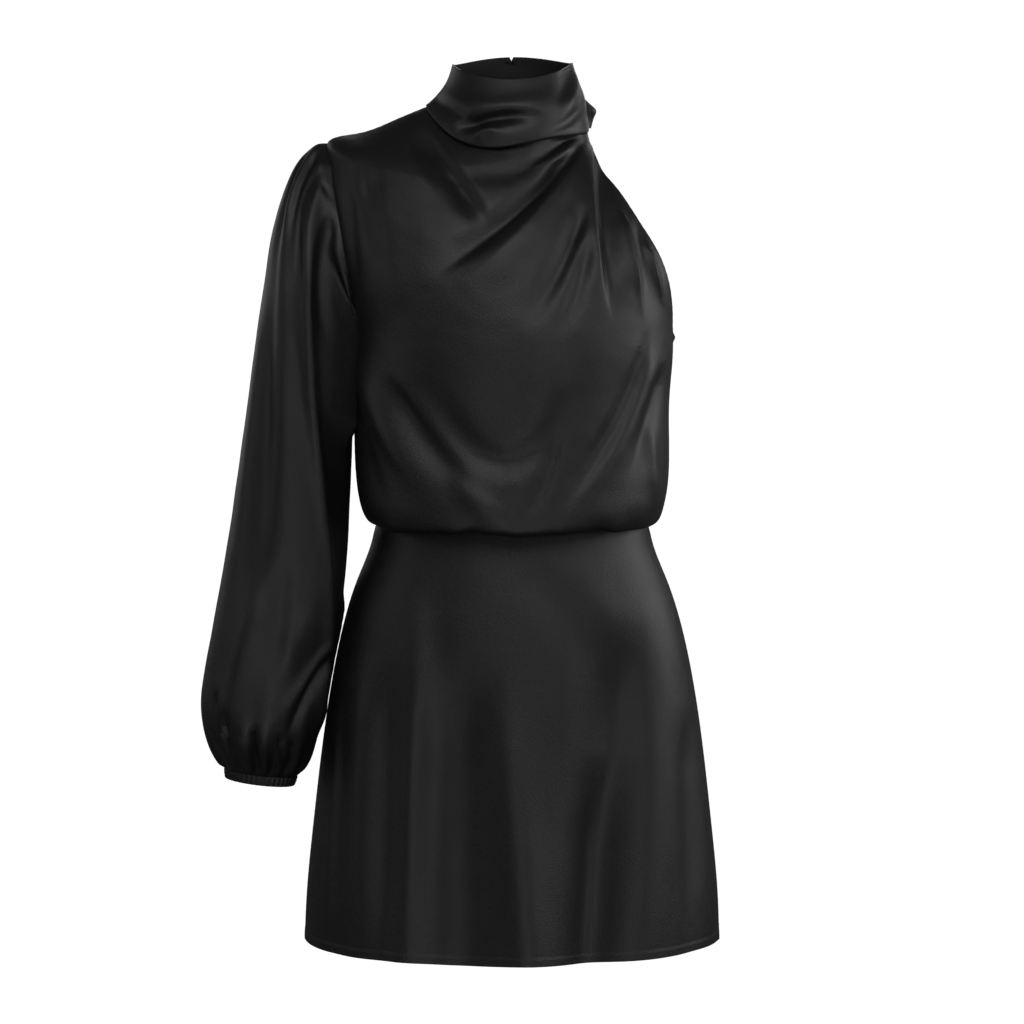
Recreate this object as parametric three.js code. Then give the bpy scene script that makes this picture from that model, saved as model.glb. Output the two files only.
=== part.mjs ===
import * as THREE from "three";

// One-shoulder dress in black satin, in its worn shape and empty.
// Millimetres. Front towards -Y, sleeve side towards -X, Z up from the neck end of the shoulder seam.

// Cloth and seams
const CLOTH = 1.5;
const SEAM_GAP = 0.3;
const SATIN = { color: 0x0b0b0c, roughness: 0.4, metalness: 0 };
const HOOK_METAL = { color: 0x101012, roughness: 0.35, metalness: 0.7 };

// Heights up the side of the bodice where its outline changes
const SHOULDER_AT = 388;
const NECK_AT = 491;
const ARMHOLE_FOOT_AT = 209;
const BARE_FOOT_AT = 194;
const SLIT_FOOT_AT = 345;
const SLIT_HALF = 0.9;
const CENTRE_BACK = -0.6;

// Narrow pieces
const HEM_TURN = 9;
const CUFF_HEIGHT = 9;
const CUFF_RIBS = 44;
const RIB_HEIGHT = 0.55;
const WRIST_GATHERS = 15;
const HOOK_WIRE = 0.42;

// Mesh steps
const FRONT_COLUMNS = 28;
const BACK_COLUMNS = 11;
const SKIRT_COLUMNS = 19;
const SLEEVE_COLUMNS = 60;
const COLLAR_COLUMNS = 32;

// Sections of the bodice, from the waist seam up over the blouse to the neck.
// at: up the side; z and slant: height at the sleeve side and its change to the bare side;
// left, right, front, back: half sizes; drop, rise, tilt, sag: how front and back run off level.
const BODICE = columns(`at z slant left right front back drop rise tilt sag full`, [
  [0, -384, 0, 124.5, 124.5, 92, 86, 3.5, 0, 0, 0, 0.02],
  [8, -390, 0, 129.5, 129.5, 96.5, 90, 3.7, 0, 0, 0, 0.02],
  [15, -393.6, 0, 134, 134, 102, 95, 3.8, 0, 0, 0, 0.03],
  [23, -391.8, 0, 138.5, 139, 108.5, 99.5, 3.7, 0, 0, 0, 0.04],
  [34, -383.5, 0, 142.8, 143.4, 115.5, 103, 3.2, 0, 0, 0, 0.05],
  [60, -360, 0, 148, 149, 121.5, 105, 1.6, 0, 0, 0, 0.05],
  [100, -320, 0, 149.5, 150.3, 126, 102, 0, 0, 0, 0, 0.05],
  [150, -270, 0, 148.4, 150.8, 129.5, 100, 0, 0, 0, 0, 0.045],
  [194, -226, 0, 147.9, 153.8, 130.5, 102, 1, 0, 0, 0, 0.04],
  [209, -211, 0, 148.4, 153.6, 130, 102.5, 2, 0, 0, 0, 0.04],
  [240, -180, -1, 156.6, 156.6, 126, 104, 4.5, 0, 0, 0, 0.035],
  [280, -140, -2.5, 168.3, 158.2, 117.5, 105, 9.5, 0, 0, 0, 0.03],
  [320, -100, -5, 174.3, 140.7, 106, 104, 14.5, 0, 0, 1, 0.02],
  [356, -64, -8.5, 176.2, 113.2, 93, 98, 20.5, 1, 0, 4, 0.01],
  [376, -44, -11, 176, 96.9, 86.5, 92, 26, 2, 1, 8, 0],
  [388, -32, -13, 175.5, 88.3, 82.5, 88, 30, 4, 2, 11, 0],
  [417, -23.6, -16, 148.2, 80.3, 76.5, 80.5, 27.4, 8, 4, 13, 0],
  [454, -12.2, -20, 113, 74.2, 68, 72, 24.8, 13, 7, 8, 0],
  [491, 1.5, -25, 78.5, 72, 58, 62, 23, 19, 11, 0, 0],
]);

// How far the armhole and the bare edge stand in from the sides, in degrees.
const ARMHOLE = columns(`at front back`, [
  [209, 0, 0], [218, 9, 9], [234, 17.3, 15], [263, 23.3, 20], [292, 24.7, 22],
  [324, 23, 22], [358, 18.6, 19], [376, 12, 13], [388, 0, 0],
]);
const BARE_EDGE = columns(`at front back`, [
  [194, 0, 0], [200, 3.5, 4], [209, 6.5, 9], [240, 18.5, 25], [280, 29.5, 39], [320, 31.5, 44],
  [356, 26, 39], [376, 21, 33], [388, 18, 29], [417, 13, 21], [454, 8, 12], [491, 1.5, 1.5],
]);

// Sections of the collar from its top edge down to the fold and in to the neck seam.
const COLLAR = columns(`at z slant left right front back drop rise tilt sag full`, [
  [0, 40.5, 1.5, 56.5, 57.5, 57, 57, 20, 11, 0, 0, 0],
  [9, 33, 1, 58.6, 59.6, 60.5, 58.5, 21, 11.5, 0, 0, 0],
  [22, 21.5, 0, 63.6, 64.4, 65.5, 60.5, 22, 12, 1, 0, 0],
  [34, 11, -4, 71.6, 69.5, 69.8, 62.5, 24, 15, 5, 0, 0],
  [44, 4.2, -14, 79.6, 71.8, 71.4, 63.5, 27, 19.5, 9, 0, 0],
  [51, 2.4, -21, 83.2, 73, 71.2, 63.5, 30, 20.5, 11, 0, 0],
  [55, 1.9, -23.8, 83.2, 73.1, 69.3, 63.1, 31.6, 20.4, 11, 0, 0],
  [58, 2, -24.6, 81.4, 72.6, 65.5, 62.6, 29.5, 19.8, 11, 0, 0],
  [63, 2, -25, 78.5, 72, 58, 62, 23, 19, 11, 0, 0],
]);

// Sections of the skirt, from the hem up to the waist seam inside the blouse.
const SKIRT = columns(`at z slant left right front back drop rise tilt sag full`, [
  [0, -797.5, 1, 201, 201, 151, 153, -4.5, 3, 0, 0, 0],
  [34, -763.2, 0, 199.5, 199.9, 145, 149, -3, 2, 0, 0, 0],
  [113, -684.6, 0, 192, 192.7, 132, 139, -1, 1, 0, 0, 0],
  [191, -606.5, 0, 182.6, 183.6, 120.5, 131, 0, 0, 0, 0, 0.01],
  [250, -548.1, 0, 173.6, 174.6, 114.5, 127, 0, 0, 0, 0, 0.015],
  [308, -489.8, 0, 161.3, 161.8, 108, 120, 0, 0, 0, 0, 0.02],
  [347, -451.2, 0, 149.1, 149.1, 102.5, 109, 0, 0, 0, 0, 0.02],
  [386, -412.5, 0, 134.5, 134.5, 96.5, 95, 0, 0, 0, 0, 0.02],
  [404, -394, 0, 129.2, 129.2, 93.7, 89.5, 1, 0, 0, 0, 0.02],
  [413, -384.4, 0, 124.1, 124.1, 91.6, 85.6, 3.5, 0, 0, 0, 0.02],
]);

// Rings of the sleeve: the outer and inner side of each, its depths and how far it hangs forward.
const SLEEVE = columns(`down outX outZ inX inZ front back shift`, [
  [0, -175.8, -32.3, -148.9, -211.2, 46, 38, -5],
  [15, -189.8, -37, -149.8, -216, 50, 44, -4],
  [34, -203.2, -50.1, -150.4, -225.5, 54, 50, -3],
  [55, -212.9, -69, -150.9, -236, 57, 54, -2],
  [82, -221.7, -94.4, -151.4, -247.5, 60, 57, -1],
  [114, -229.6, -125.7, -151.8, -260.9, 62, 59, 0],
  [153, -235.6, -163.6, -152.1, -278.1, 62, 60, 0],
  [198, -242.6, -208.4, -152.8, -302, 62, 60, 0],
  [254, -250.5, -263.7, -153.8, -335.5, 61, 60, -1],
  [317, -259.4, -325.8, -155.8, -378.6, 60, 60, -3],
  [384, -269.2, -392.8, -158.2, -426.5, 60, 60, -6],
  [443, -278.9, -450.2, -162.6, -469.5, 61, 61, -9],
  [501, -289.6, -507.8, -170.6, -512.6, 62, 62, -12],
  [540, -296.4, -546.1, -177.2, -548.1, 61, 61, -14],
  [559, -298.4, -565.3, -180.4, -568.2, 58, 59, -15],
  [580, -296.5, -586.4, -184, -591.2, 53, 54, -16.5],
  [600, -290.7, -605.5, -189.4, -609.4, 45, 46, -18],
  [617, -283, -619.9, -196.4, -624.7, 35.5, 36, -19],
  [629, -275.6, -629.6, -206.3, -638.2, 26.5, 26.5, -20],
]);
const SLEEVE_END = 629;
const SLEEVE_ROWS = [
  0, 8, 19, 34, 52, 75, 105, 145, 195, 250, 308, 366, 424, 478, 524, 556, 582, 603, 618, 629,
];

// Folds seen from the front or back: start, middle and end (x, z), height out of the cloth,
// and half width at the start and at the end.
const FRONT_FOLDS = foldTable([
  // drape from under the collar on the bare side
  [70, -22, 10, -101, -71, -164, -6, 5, 14],
  [75, -30, 9, -127, -66, -192, 6, 7, 18],
  [55, -28, 16, -58, -12, -75, -3, 5, 8],
  [72, -70, 57, -132, 22, -188, -5, 6, 14],
  [74, -120, 65, -162, 50, -206, -3, 6, 11],
  // drape from the sleeve side of the neck
  [-104, -14, -56, -72, -22, -112, -5, 7, 12],
  [-137, -50, -135, -91, -131, -128, -3, 8, 10],
  [-129, -68, -119, -128, -106, -186, 3, 10, 14],
  // creases falling from the bare edge
  [72, -34, 76, -119, 88, -198, 4.5, 4, 7],
  [80, -50, 88, -112, 94, -166, -3.5, 5, 7],
  [99, -94, 111, -148, 120, -194, 3.5, 5, 7],
  [110, -108, 121, -150, 129, -192, -2.5, 6, 8],
  [128, -142, 136, -168, 142, -190, 2, 5, 6],
  // wide drapes over the middle and the blouse
  [-112, -205, -6, -321, 74, -210, -4, 18, 18],
  [-116, -255, -84, -316, -40, -358, -4, 11, 14],
  [-147, -232, -131, -275, -109, -332, 3, 6, 9],
  [-143, -270, -131, -316, -118, -362, -3, 8, 9],
  [120, -215, 98, -295, 55, -380, -4.5, 8, 12],
  [141, -222, 131, -282, 114, -346, -3.5, 7, 10],
  [140, -266, 139, -314, 133, -358, 2, 6, 7],
  [46, -210, 22, -300, -4, -368, 3, 20, 24],
  [99, -214, 75, -285, 26, -356, 3, 11, 16],
]);
const BACK_FOLDS = foldTable([
  [-120, -60, -112, -150, -98, -230, -3, 12, 16],
  [-88, -40, -70, -130, -52, -220, 3, 10, 18],
  [62, -30, 50, -130, 34, -230, -4, 7, 16],
  [84, -80, 82, -160, 72, -250, 3.5, 8, 14],
  [112, -130, 112, -200, 104, -290, -3, 8, 13],
  [-118, -240, -96, -310, -62, -368, -4, 11, 15],
  [-62, -250, -40, -320, -16, -370, 3, 14, 18],
  [64, -260, 48, -320, 22, -370, -3.5, 12, 16],
  [124, -250, 112, -310, 88, -368, 3, 9, 14],
]);
const SKIRT_FRONT_FOLDS = foldTable([
  [-148, -560, -162, -680, -172, -830, 3, 10, 14],
  [-120, -540, -128, -680, -136, -830, -3, 14, 20],
  [-78, -520, -84, -660, -90, -830, 3.5, 14, 20],
  [-24, -600, -25, -700, -26, -830, -4, 16, 20],
  [22, -560, 27, -690, 30, -830, 4.5, 14, 20],
  [84, -480, 96, -650, 102, -830, -4.5, 16, 22],
  [128, -520, 146, -660, 154, -830, 4, 12, 18],
]);
const SKIRT_BACK_FOLDS = foldTable([
  [-130, -540, -146, -680, -154, -830, 4, 12, 18],
  [-92, -520, -98, -670, -104, -830, -4, 14, 20],
  [-44, -560, -48, -690, -52, -830, 4, 14, 20],
  [6, -540, 6, -690, 6, -830, -4, 16, 20],
  [56, -560, 60, -690, 64, -830, 4, 14, 20],
  [104, -520, 112, -670, 118, -830, -4, 14, 20],
  [138, -540, 154, -680, 164, -830, 3, 10, 14],
]);
const COLLAR_FOLDS = foldTable([
  // the roll's bright ridge and the step beside it
  [58, 46, 55, 10, 26, -30, 2.4, 4, 6],
  [58, 24, 61, -6, 14, -34, -3, 4, 5],
  // the dent over the hump at the foot
  [-52, -34, -18, -13, 14, -30, -2.4, 4, 4],
  [-36, -33, -16, -27, 6, -30, 1.6, 4, 4],
  [-80, 3, -60, -3, -38, -7, -1.6, 5, 6],
  [-38, 6, -8, 5, 22, 8, -1.2, 6, 6],
]);
const COLLAR_BACK_FOLDS = foldTable([
  [-70, 6, -46, 18, -18, 22, -1.6, 5, 6],
  [66, 4, 44, 20, 16, 26, -1.6, 5, 6],
]);

// Folds of the sleeve: start, middle and end as degrees round and millimetres down.
// 0 is the outer side, 90 the front, 180 the side next to the body, 270 the back.
const SLEEVE_FOLDS = foldTable([
  // pleats laid into the cap
  [22, 4, 32, 24, 44, 62, -4.5, 4, 9],
  [34, 4, 44, 26, 54, 74, 3.5, 4, 9],
  [45, 4, 56, 40, 66, 110, -4.5, 4, 10],
  [56, 4, 66, 40, 78, 100, 3, 4, 9],
  [66, 6, 78, 44, 86, 120, -3, 4, 9],
  [338, 4, 328, 26, 316, 66, -4.5, 4, 9],
  [326, 4, 316, 30, 304, 84, 3.5, 4, 9],
  [314, 4, 302, 44, 292, 116, -4, 4, 10],
  [300, 6, 288, 44, 278, 110, 2.5, 4, 9],
  // the long front edge and the hollow beside the body
  [96, 70, 112, 260, 141, 470, 5, 9, 14],
  [118, 90, 136, 280, 160, 460, -5, 10, 14],
  [52, 120, 66, 240, 82, 360, 3, 10, 16],
  [30, 160, 40, 300, 50, 430, -2.5, 12, 16],
  [250, 90, 238, 270, 222, 470, 4, 10, 16],
  [292, 140, 284, 300, 270, 450, -3.5, 12, 18],
  [330, 180, 324, 320, 316, 470, 3, 12, 18],
  // creases over the balloon
  [150, 560, 132, 585, 118, 612, -3, 6, 6],
  [46, 540, 36, 570, 26, 600, 2.5, 8, 8],
  [300, 530, 310, 566, 322, 600, -3, 8, 8],
]);
const DEGREE_OF_SLEEVE = 1.02;

function columns(names, rows) {
  const keys = names.trim().split(" ");
  const at = rows.map((row) => row[0]);
  const table = { keys: at };
  keys.slice(1).forEach((name, i) => {
    table[name] = spline(at, rows.map((row) => row[i + 1]));
  });
  return table;
}

// A smooth curve through the values, with free ends.
function spline(keys, values) {
  const last = keys.length - 1;
  const bend = new Array(last + 1).fill(0);
  const work = new Array(last + 1).fill(0);
  for (let i = 1; i < last; i++) {
    const share = (keys[i] - keys[i - 1]) / (keys[i + 1] - keys[i - 1]);
    const p = share * bend[i - 1] + 2;
    const up = (values[i + 1] - values[i]) / (keys[i + 1] - keys[i]);
    const down = (values[i] - values[i - 1]) / (keys[i] - keys[i - 1]);
    bend[i] = (share - 1) / p;
    work[i] = (6 * (up - down) / (keys[i + 1] - keys[i - 1]) - share * work[i - 1]) / p;
  }
  for (let i = last - 1; i >= 0; i--) bend[i] = bend[i] * bend[i + 1] + work[i];
  return (key) => {
    const k = clamp(key, keys[0], keys[last]);
    let i = 0;
    while (i < last - 1 && k > keys[i + 1]) i++;
    const span = keys[i + 1] - keys[i];
    const a = (keys[i + 1] - k) / span;
    const b = 1 - a;
    const curve = (a ** 3 - a) * bend[i] + (b ** 3 - b) * bend[i + 1];
    return a * values[i] + b * values[i + 1] + curve * span * span / 6;
  };
}

function clamp(value, low, high) {
  return Math.min(high, Math.max(low, value));
}

function mix(a, b, t) {
  return a + (b - a) * t;
}

function ease(low, high, value) {
  const t = clamp((value - low) / (high - low), 0, 1);
  return t * t * (3 - 2 * t);
}

function steps(from, to, count) {
  return Array.from({ length: count + 1 }, (_, i) => mix(from, to, i / count));
}

const radians = THREE.MathUtils.degToRad;

// Point of a section: angle 0 is the sleeve side, then front, bare side and back.
function section(shape, angle, at) {
  const left = shape.left(at);
  const right = shape.right(at);
  const c = Math.cos(angle);
  const s = Math.sin(angle);
  const swell = 1 + shape.full(at) * Math.sin(2 * angle) ** 2;
  const x = (right - left) / 2 - (left + right) / 2 * c * swell;
  const level = shape.z(at) + shape.slant(at) * (1 - c) / 2;
  if (s < 0) {
    const climb = shape.rise(at) * s * s - shape.sag(at) * Math.sin(2 * angle) ** 2;
    return new THREE.Vector3(x, -shape.back(at) * s * swell, level + climb);
  }
  const lean = shape.drop(at) * s ** 1.4 + shape.tilt(at) * Math.sin(2 * angle) * s;
  return new THREE.Vector3(x, -shape.front(at) * s * swell, level - lean);
}

// Folds as smooth lines through three points.
function foldTable(rows) {
  return rows.map(([x0, z0, x1, z1, x2, z2, height, narrow, wide]) => {
    const cx = 2 * x1 - (x0 + x2) / 2;
    const cz = 2 * z1 - (z0 + z2) / 2;
    const line = steps(0, 1, 10).map((t) => [
      (1 - t) ** 2 * x0 + 2 * t * (1 - t) * cx + t * t * x2,
      (1 - t) ** 2 * z0 + 2 * t * (1 - t) * cz + t * t * z2,
    ]);
    return { line, height, narrow, wide };
  });
}

function nearest(line, x, z) {
  let best = { far: Infinity, t: 0 };
  for (let i = 0; i + 1 < line.length; i++) {
    const dx = line[i + 1][0] - line[i][0];
    const dz = line[i + 1][1] - line[i][1];
    const along = clamp(((x - line[i][0]) * dx + (z - line[i][1]) * dz) / (dx * dx + dz * dz), 0, 1);
    const far = Math.hypot(x - line[i][0] - along * dx, z - line[i][1] - along * dz);
    if (far < best.far) best = { far, t: (i + along) / (line.length - 1) };
  }
  return best;
}

function foldHeight(folds, x, z) {
  let sum = 0;
  for (const fold of folds) {
    const { far, t } = nearest(fold.line, x, z);
    const width = mix(fold.narrow, fold.wide, t);
    const ends = ease(0, 0.2, t) * ease(1, 0.7, t);
    sum += fold.height * ends * Math.exp(-((far / width) ** 2));
  }
  return sum;
}

function normalAt(grid, r, c, around) {
  const rows = grid.length;
  const cols = grid[0].length;
  const before = around ? (c + cols - 1) % cols : Math.max(c - 1, 0);
  const after = around ? (c + 1) % cols : Math.min(c + 1, cols - 1);
  const across = grid[r][after].clone().sub(grid[r][before]);
  const up = grid[Math.min(r + 1, rows - 1)][c].clone().sub(grid[Math.max(r - 1, 0)][c]);
  return across.cross(up).normalize();
}

// The grid pushed out along its own normals by a height worked out at each point.
function pushed(grid, height, around = false) {
  return grid.map((line, r) => line.map((point, c) => {
    const out = normalAt(grid, r, c, around);
    return point.clone().addScaledVector(out, height(point, r, c));
  }));
}

// Rim normals keep the inner edge of a seam in the seam's own plane.
function rimNormal(normal, seam) {
  if (seam) normal[seam] = 0;
  return normal.normalize();
}

// A closed wall of cloth between the grid and the same grid moved in.
function wall(grid, seams = {}, around = false) {
  const lastRow = grid.length - 1;
  const lastCol = grid[0].length - 1;
  const inner = grid.map((line, r) => line.map((point, c) => {
    const normal = normalAt(grid, r, c, around);
    if (r === 0) rimNormal(normal, seams.bottom);
    if (r === lastRow) rimNormal(normal, seams.top);
    if (c === 0 && !around) rimNormal(normal, seams.first && seams.first(r));
    if (c === lastCol && !around) rimNormal(normal, seams.last && seams.last(r));
    return point.clone().addScaledVector(normal, -CLOTH);
  }));
  return shellBetween(grid, inner, around);
}

function shellBetween(outer, inner, around) {
  const rows = outer.length;
  const cols = outer[0].length;
  const places = [];
  const face = (a, b, c, d) => [a, b, c, a, c, d].forEach((p) => places.push(p.x, p.y, p.z));
  const strips = around ? cols : cols - 1;
  for (let c = 0; c < strips; c++) {
    const n = (c + 1) % cols;
    for (let r = 0; r + 1 < rows; r++) {
      face(outer[r][c], outer[r][n], outer[r + 1][n], outer[r + 1][c]);
      face(inner[r][c], inner[r + 1][c], inner[r + 1][n], inner[r][n]);
    }
    face(outer[0][c], inner[0][c], inner[0][n], outer[0][n]);
    face(outer[rows - 1][c], outer[rows - 1][n], inner[rows - 1][n], inner[rows - 1][c]);
  }
  if (!around) closeSides(outer, inner, face);
  return geometryOf(places);
}

function closeSides(outer, inner, face) {
  const end = outer[0].length - 1;
  for (let r = 0; r + 1 < outer.length; r++) {
    face(outer[r][0], outer[r + 1][0], inner[r + 1][0], inner[r][0]);
    face(outer[r][end], inner[r][end], inner[r + 1][end], outer[r + 1][end]);
  }
}

function geometryOf(places) {
  const geometry = new THREE.BufferGeometry();
  geometry.setAttribute("position", new THREE.Float32BufferAttribute(places, 3));
  geometry.computeVertexNormals();
  return geometry;
}

function piece(name, geometry, look = SATIN) {
  const mesh = new THREE.Mesh(geometry, new THREE.MeshStandardMaterial(look));
  mesh.name = name;
  return mesh;
}

// Bodice

const BODICE_ROWS = [
  0, 8, 15, 23, 34, 47, ...steps(62, 194, 8), 209, 213, 220, 230, ...steps(243, 376, 8), 383, 388,
  ...steps(404, 491, 5),
];

function insetOf(edge, side, at) {
  if (at <= edge.keys[0]) return 0;
  if (at >= edge.keys[edge.keys.length - 1]) return edge[side](at);
  return Math.max(0, edge[side](at));
}

function seamTurn(depth) {
  return Math.asin(SEAM_GAP / 2 / depth);
}

// Angles from one seam to the other; an edge that is cut in crowds only the columns beside it.
function spread(from, to, first, last, count) {
  return steps(0, 1, count).map((t) => (
    mix(from, to, t) + (first - from) * (1 - t) ** 3 + (last - to) * t ** 3
  ));
}

// The angle on the back where the section passes a given distance from the middle of the body.
function backAngle(shape, at, x) {
  const left = shape.left(at);
  const right = shape.right(at);
  return 2 * Math.PI - Math.acos(((right - left) / 2 - x) / ((left + right) / 2));
}

function frontEnds(at) {
  const gap = seamTurn(BODICE.front(at));
  const arm = at < SHOULDER_AT ? insetOf(ARMHOLE, "front", at) : 0;
  const bare = insetOf(BARE_EDGE, "front", at);
  return [Math.max(gap, radians(arm)), Math.PI - Math.max(gap, radians(bare))];
}

function frontGrid() {
  return BODICE_ROWS.map((at) => {
    const [first, last] = frontEnds(at);
    return spread(0, Math.PI, first, last, FRONT_COLUMNS).map((angle) => section(BODICE, angle, at));
  });
}

// Folds die away at the seams, and run out to the edge only where that is bare.
function frontHold(at, share) {
  const side = ease(0, 0.07, share) * (at > BARE_FOOT_AT ? 1 : ease(0, 0.07, 1 - share));
  return side * ease(20, 60, at) * ease(NECK_AT, NECK_AT - 30, at);
}

function frontBodice() {
  const grid = pushed(frontGrid(), (point, r, c) => {
    const hold = frontHold(BODICE_ROWS[r], c / FRONT_COLUMNS);
    return hold * foldHeight(FRONT_FOLDS, point.x, point.z);
  });
  const seams = {
    bottom: "z",
    top: "z",
    first: (r) => (BODICE_ROWS[r] <= ARMHOLE_FOOT_AT || BODICE_ROWS[r] >= SHOULDER_AT ? "y" : null),
    last: (r) => (BODICE_ROWS[r] <= BARE_FOOT_AT ? "y" : null),
  };
  return piece("front_bodice", wall(grid, seams));
}

// Half the gap at the centre back: a seam below, an open slit above.
function slitHalf(at) {
  return mix(SEAM_GAP / 2, SLIT_HALF, ease(SLIT_FOOT_AT - 20, SLIT_FOOT_AT + 60, at));
}

function backAngles(at, side) {
  const gap = seamTurn(BODICE.back(at));
  if (side === "right") {
    const bare = Math.PI + Math.max(gap, radians(insetOf(BARE_EDGE, "back", at)));
    const middle = backAngle(BODICE, at, CENTRE_BACK + slitHalf(at));
    return spread(Math.PI, middle, bare, middle, BACK_COLUMNS);
  }
  const arm = at < SHOULDER_AT ? radians(insetOf(ARMHOLE, "back", at)) : 0;
  const middle = backAngle(BODICE, at, CENTRE_BACK - slitHalf(at));
  return spread(middle, 2 * Math.PI, middle, 2 * Math.PI - Math.max(gap, arm), BACK_COLUMNS);
}

const BACK_ROWS = [
  0, 8, 15, 23, 34, 62, ...steps(95, 161, 2), 194, 209, 213, 220, 230, ...steps(243, 376, 8), 383, 388,
  ...steps(404, 491, 3),
];

function backHold(at, share) {
  const side = ease(0, 0.16, share) * ease(0, 0.16, 1 - share);
  return side * ease(20, 60, at) * ease(NECK_AT, NECK_AT - 30, at);
}

function backBodice(side) {
  const base = BACK_ROWS.map((at) => backAngles(at, side).map((angle) => section(BODICE, angle, at)));
  const grid = pushed(base, (point, r, c) => (
    backHold(BACK_ROWS[r], c / BACK_COLUMNS) * foldHeight(BACK_FOLDS, point.x, point.z)
  ));
  const outer = (foot, top) => (r) => (BACK_ROWS[r] <= foot || BACK_ROWS[r] >= top ? "y" : null);
  const middle = () => "x";
  const seams = side === "right"
    ? { bottom: "z", top: "z", first: outer(BARE_FOOT_AT, Infinity), last: middle }
    : { bottom: "z", top: "z", first: middle, last: outer(ARMHOLE_FOOT_AT, SHOULDER_AT) };
  return piece(`back_bodice_${side}`, wall(grid, seams));
}

// Skirt

const SKIRT_ROWS = [0, HEM_TURN, 44, 100, 165, 230, 290, 345, 386, 404, 413];

function skirt(name, from, folds) {
  const base = SKIRT_ROWS.map((at) => {
    const gap = seamTurn(SKIRT.front(at));
    return steps(from + gap, from + Math.PI - gap, SKIRT_COLUMNS).map((angle) => section(SKIRT, angle, at));
  });
  const grid = pushed(base, (point, r, c) => {
    const share = c / SKIRT_COLUMNS;
    const hold = ease(0, 0.1, share) * ease(0, 0.1, 1 - share) * ease(400, 330, SKIRT_ROWS[r]);
    return hold * foldHeight(folds, point.x, point.z);
  });
  const side = () => "y";
  return piece(name, wall(grid, { bottom: "z", top: "z", first: side, last: side }));
}

// Sleeve

function sleeveRing(down, degrees) {
  const s = SLEEVE;
  const turn = radians(degrees);
  const along = (1 + Math.cos(turn)) / 2;
  const depth = Math.sin(turn) > 0 ? s.front(down) : s.back(down);
  const y = s.shift(down) - depth * Math.sin(turn);
  const x = mix(s.inX(down), s.outX(down), along);
  return new THREE.Vector3(x, y, mix(s.inZ(down), s.outZ(down), along));
}

// The armhole of the bodice at the same place round the sleeve.
function armholePoint(degrees) {
  const turn = radians(degrees);
  const at = mix(ARMHOLE_FOOT_AT, SHOULDER_AT, (1 + Math.cos(turn)) / 2);
  const front = Math.sin(turn) > 0;
  const inset = radians(insetOf(ARMHOLE, front ? "front" : "back", at));
  const point = section(BODICE, front ? inset : 2 * Math.PI - inset, at);
  point.x -= 2 * SEAM_GAP;
  return point;
}

function sleevePoint(down, degrees) {
  const point = sleeveRing(down, degrees);
  const reach = ease(70, 0, down);
  if (reach === 0) return point;
  const change = armholePoint(degrees).sub(sleeveRing(0, degrees));
  return point.addScaledVector(change, reach);
}

function gatherHeight(down, degrees) {
  const up = SLEEVE_END - down;
  const size = 2.6 * ease(0, 9, up) * Math.exp(-((up / 42) ** 2));
  const wander = degrees + 5 * Math.sin(radians(3 * degrees + 40));
  return size * Math.cos(radians(wander * WRIST_GATHERS));
}

function sleeveHeight(down, degrees) {
  let folds = 0;
  for (const turn of [degrees - 360, degrees, degrees + 360]) {
    folds += foldHeight(SLEEVE_FOLDS_MM, turn * DEGREE_OF_SLEEVE, down);
  }
  return folds * ease(0, 14, down) * ease(SLEEVE_END, SLEEVE_END - 20, down) + gatherHeight(down, degrees);
}

const SLEEVE_FOLDS_MM = SLEEVE_FOLDS.map((fold) => ({
  ...fold,
  line: fold.line.map(([degrees, down]) => [degrees * DEGREE_OF_SLEEVE, down]),
}));

function sleeve() {
  const turns = steps(0, 360, SLEEVE_COLUMNS).slice(0, -1);
  const rows = [...SLEEVE_ROWS].reverse();
  const base = rows.map((down) => turns.map((degrees) => sleevePoint(down, degrees)));
  const grid = pushed(base, (point, r, c) => sleeveHeight(rows[r], turns[c]), true);
  return piece("sleeve", wall(grid, { bottom: "z", top: "x" }, true));
}

// Cuff: plain inside, ribbed outside.
function cuffRing(deep, out, degrees) {
  const turn = radians(degrees);
  const rim = sleeveRing(SLEEVE_END, degrees);
  const outer = sleeveRing(SLEEVE_END, 0);
  const inner = sleeveRing(SLEEVE_END, 180);
  const centre = outer.clone().add(inner).multiplyScalar(0.5);
  const across = outer.clone().sub(inner).normalize();
  const down = new THREE.Vector3(across.z, 0, -across.x).multiplyScalar(Math.sign(across.x));
  const round = rim.sub(centre).multiplyScalar(1 - 0.055 * deep / CUFF_HEIGHT);
  const way = across.clone().multiplyScalar(Math.cos(turn)).add(new THREE.Vector3(0, -Math.sin(turn), 0));
  return centre.addScaledVector(down, deep + 0.4).add(round).addScaledVector(way, out);
}

function cuff() {
  const count = 2 * CUFF_RIBS;
  const turns = steps(0, 360, count).slice(0, -1);
  const depths = [CUFF_HEIGHT, CUFF_HEIGHT / 2, 0];
  const outer = depths.map((deep, r) => turns.map((degrees, c) => {
    const rib = c % 2 === 0 ? RIB_HEIGHT : 0;
    return cuffRing(deep, r === 1 ? rib + 0.35 : rib, degrees);
  }));
  const inner = depths.map((deep) => turns.map((degrees) => cuffRing(deep, -CLOTH, degrees)));
  return piece("cuff", shellBetween(outer, inner, true));
}

// Collar

const COLLAR_ROWS = [63, 60.5, 58, 55, 51, 46, 39, 31, 22, 12, 5, 0];
const COLLAR_SLIT = 0.7;
const NOTCH = 1.4;

function collarAngles(at) {
  const half = COLLAR_SLIT + NOTCH * ease(6, 0, at);
  const first = backAngle(COLLAR, at, CENTRE_BACK - half) - 2 * Math.PI;
  return steps(first, backAngle(COLLAR, at, CENTRE_BACK + half), COLLAR_COLUMNS);
}

function collarPoint(angle, at) {
  const turn = angle < 0 ? angle + 2 * Math.PI : angle;
  return section(COLLAR, turn, at);
}

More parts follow.
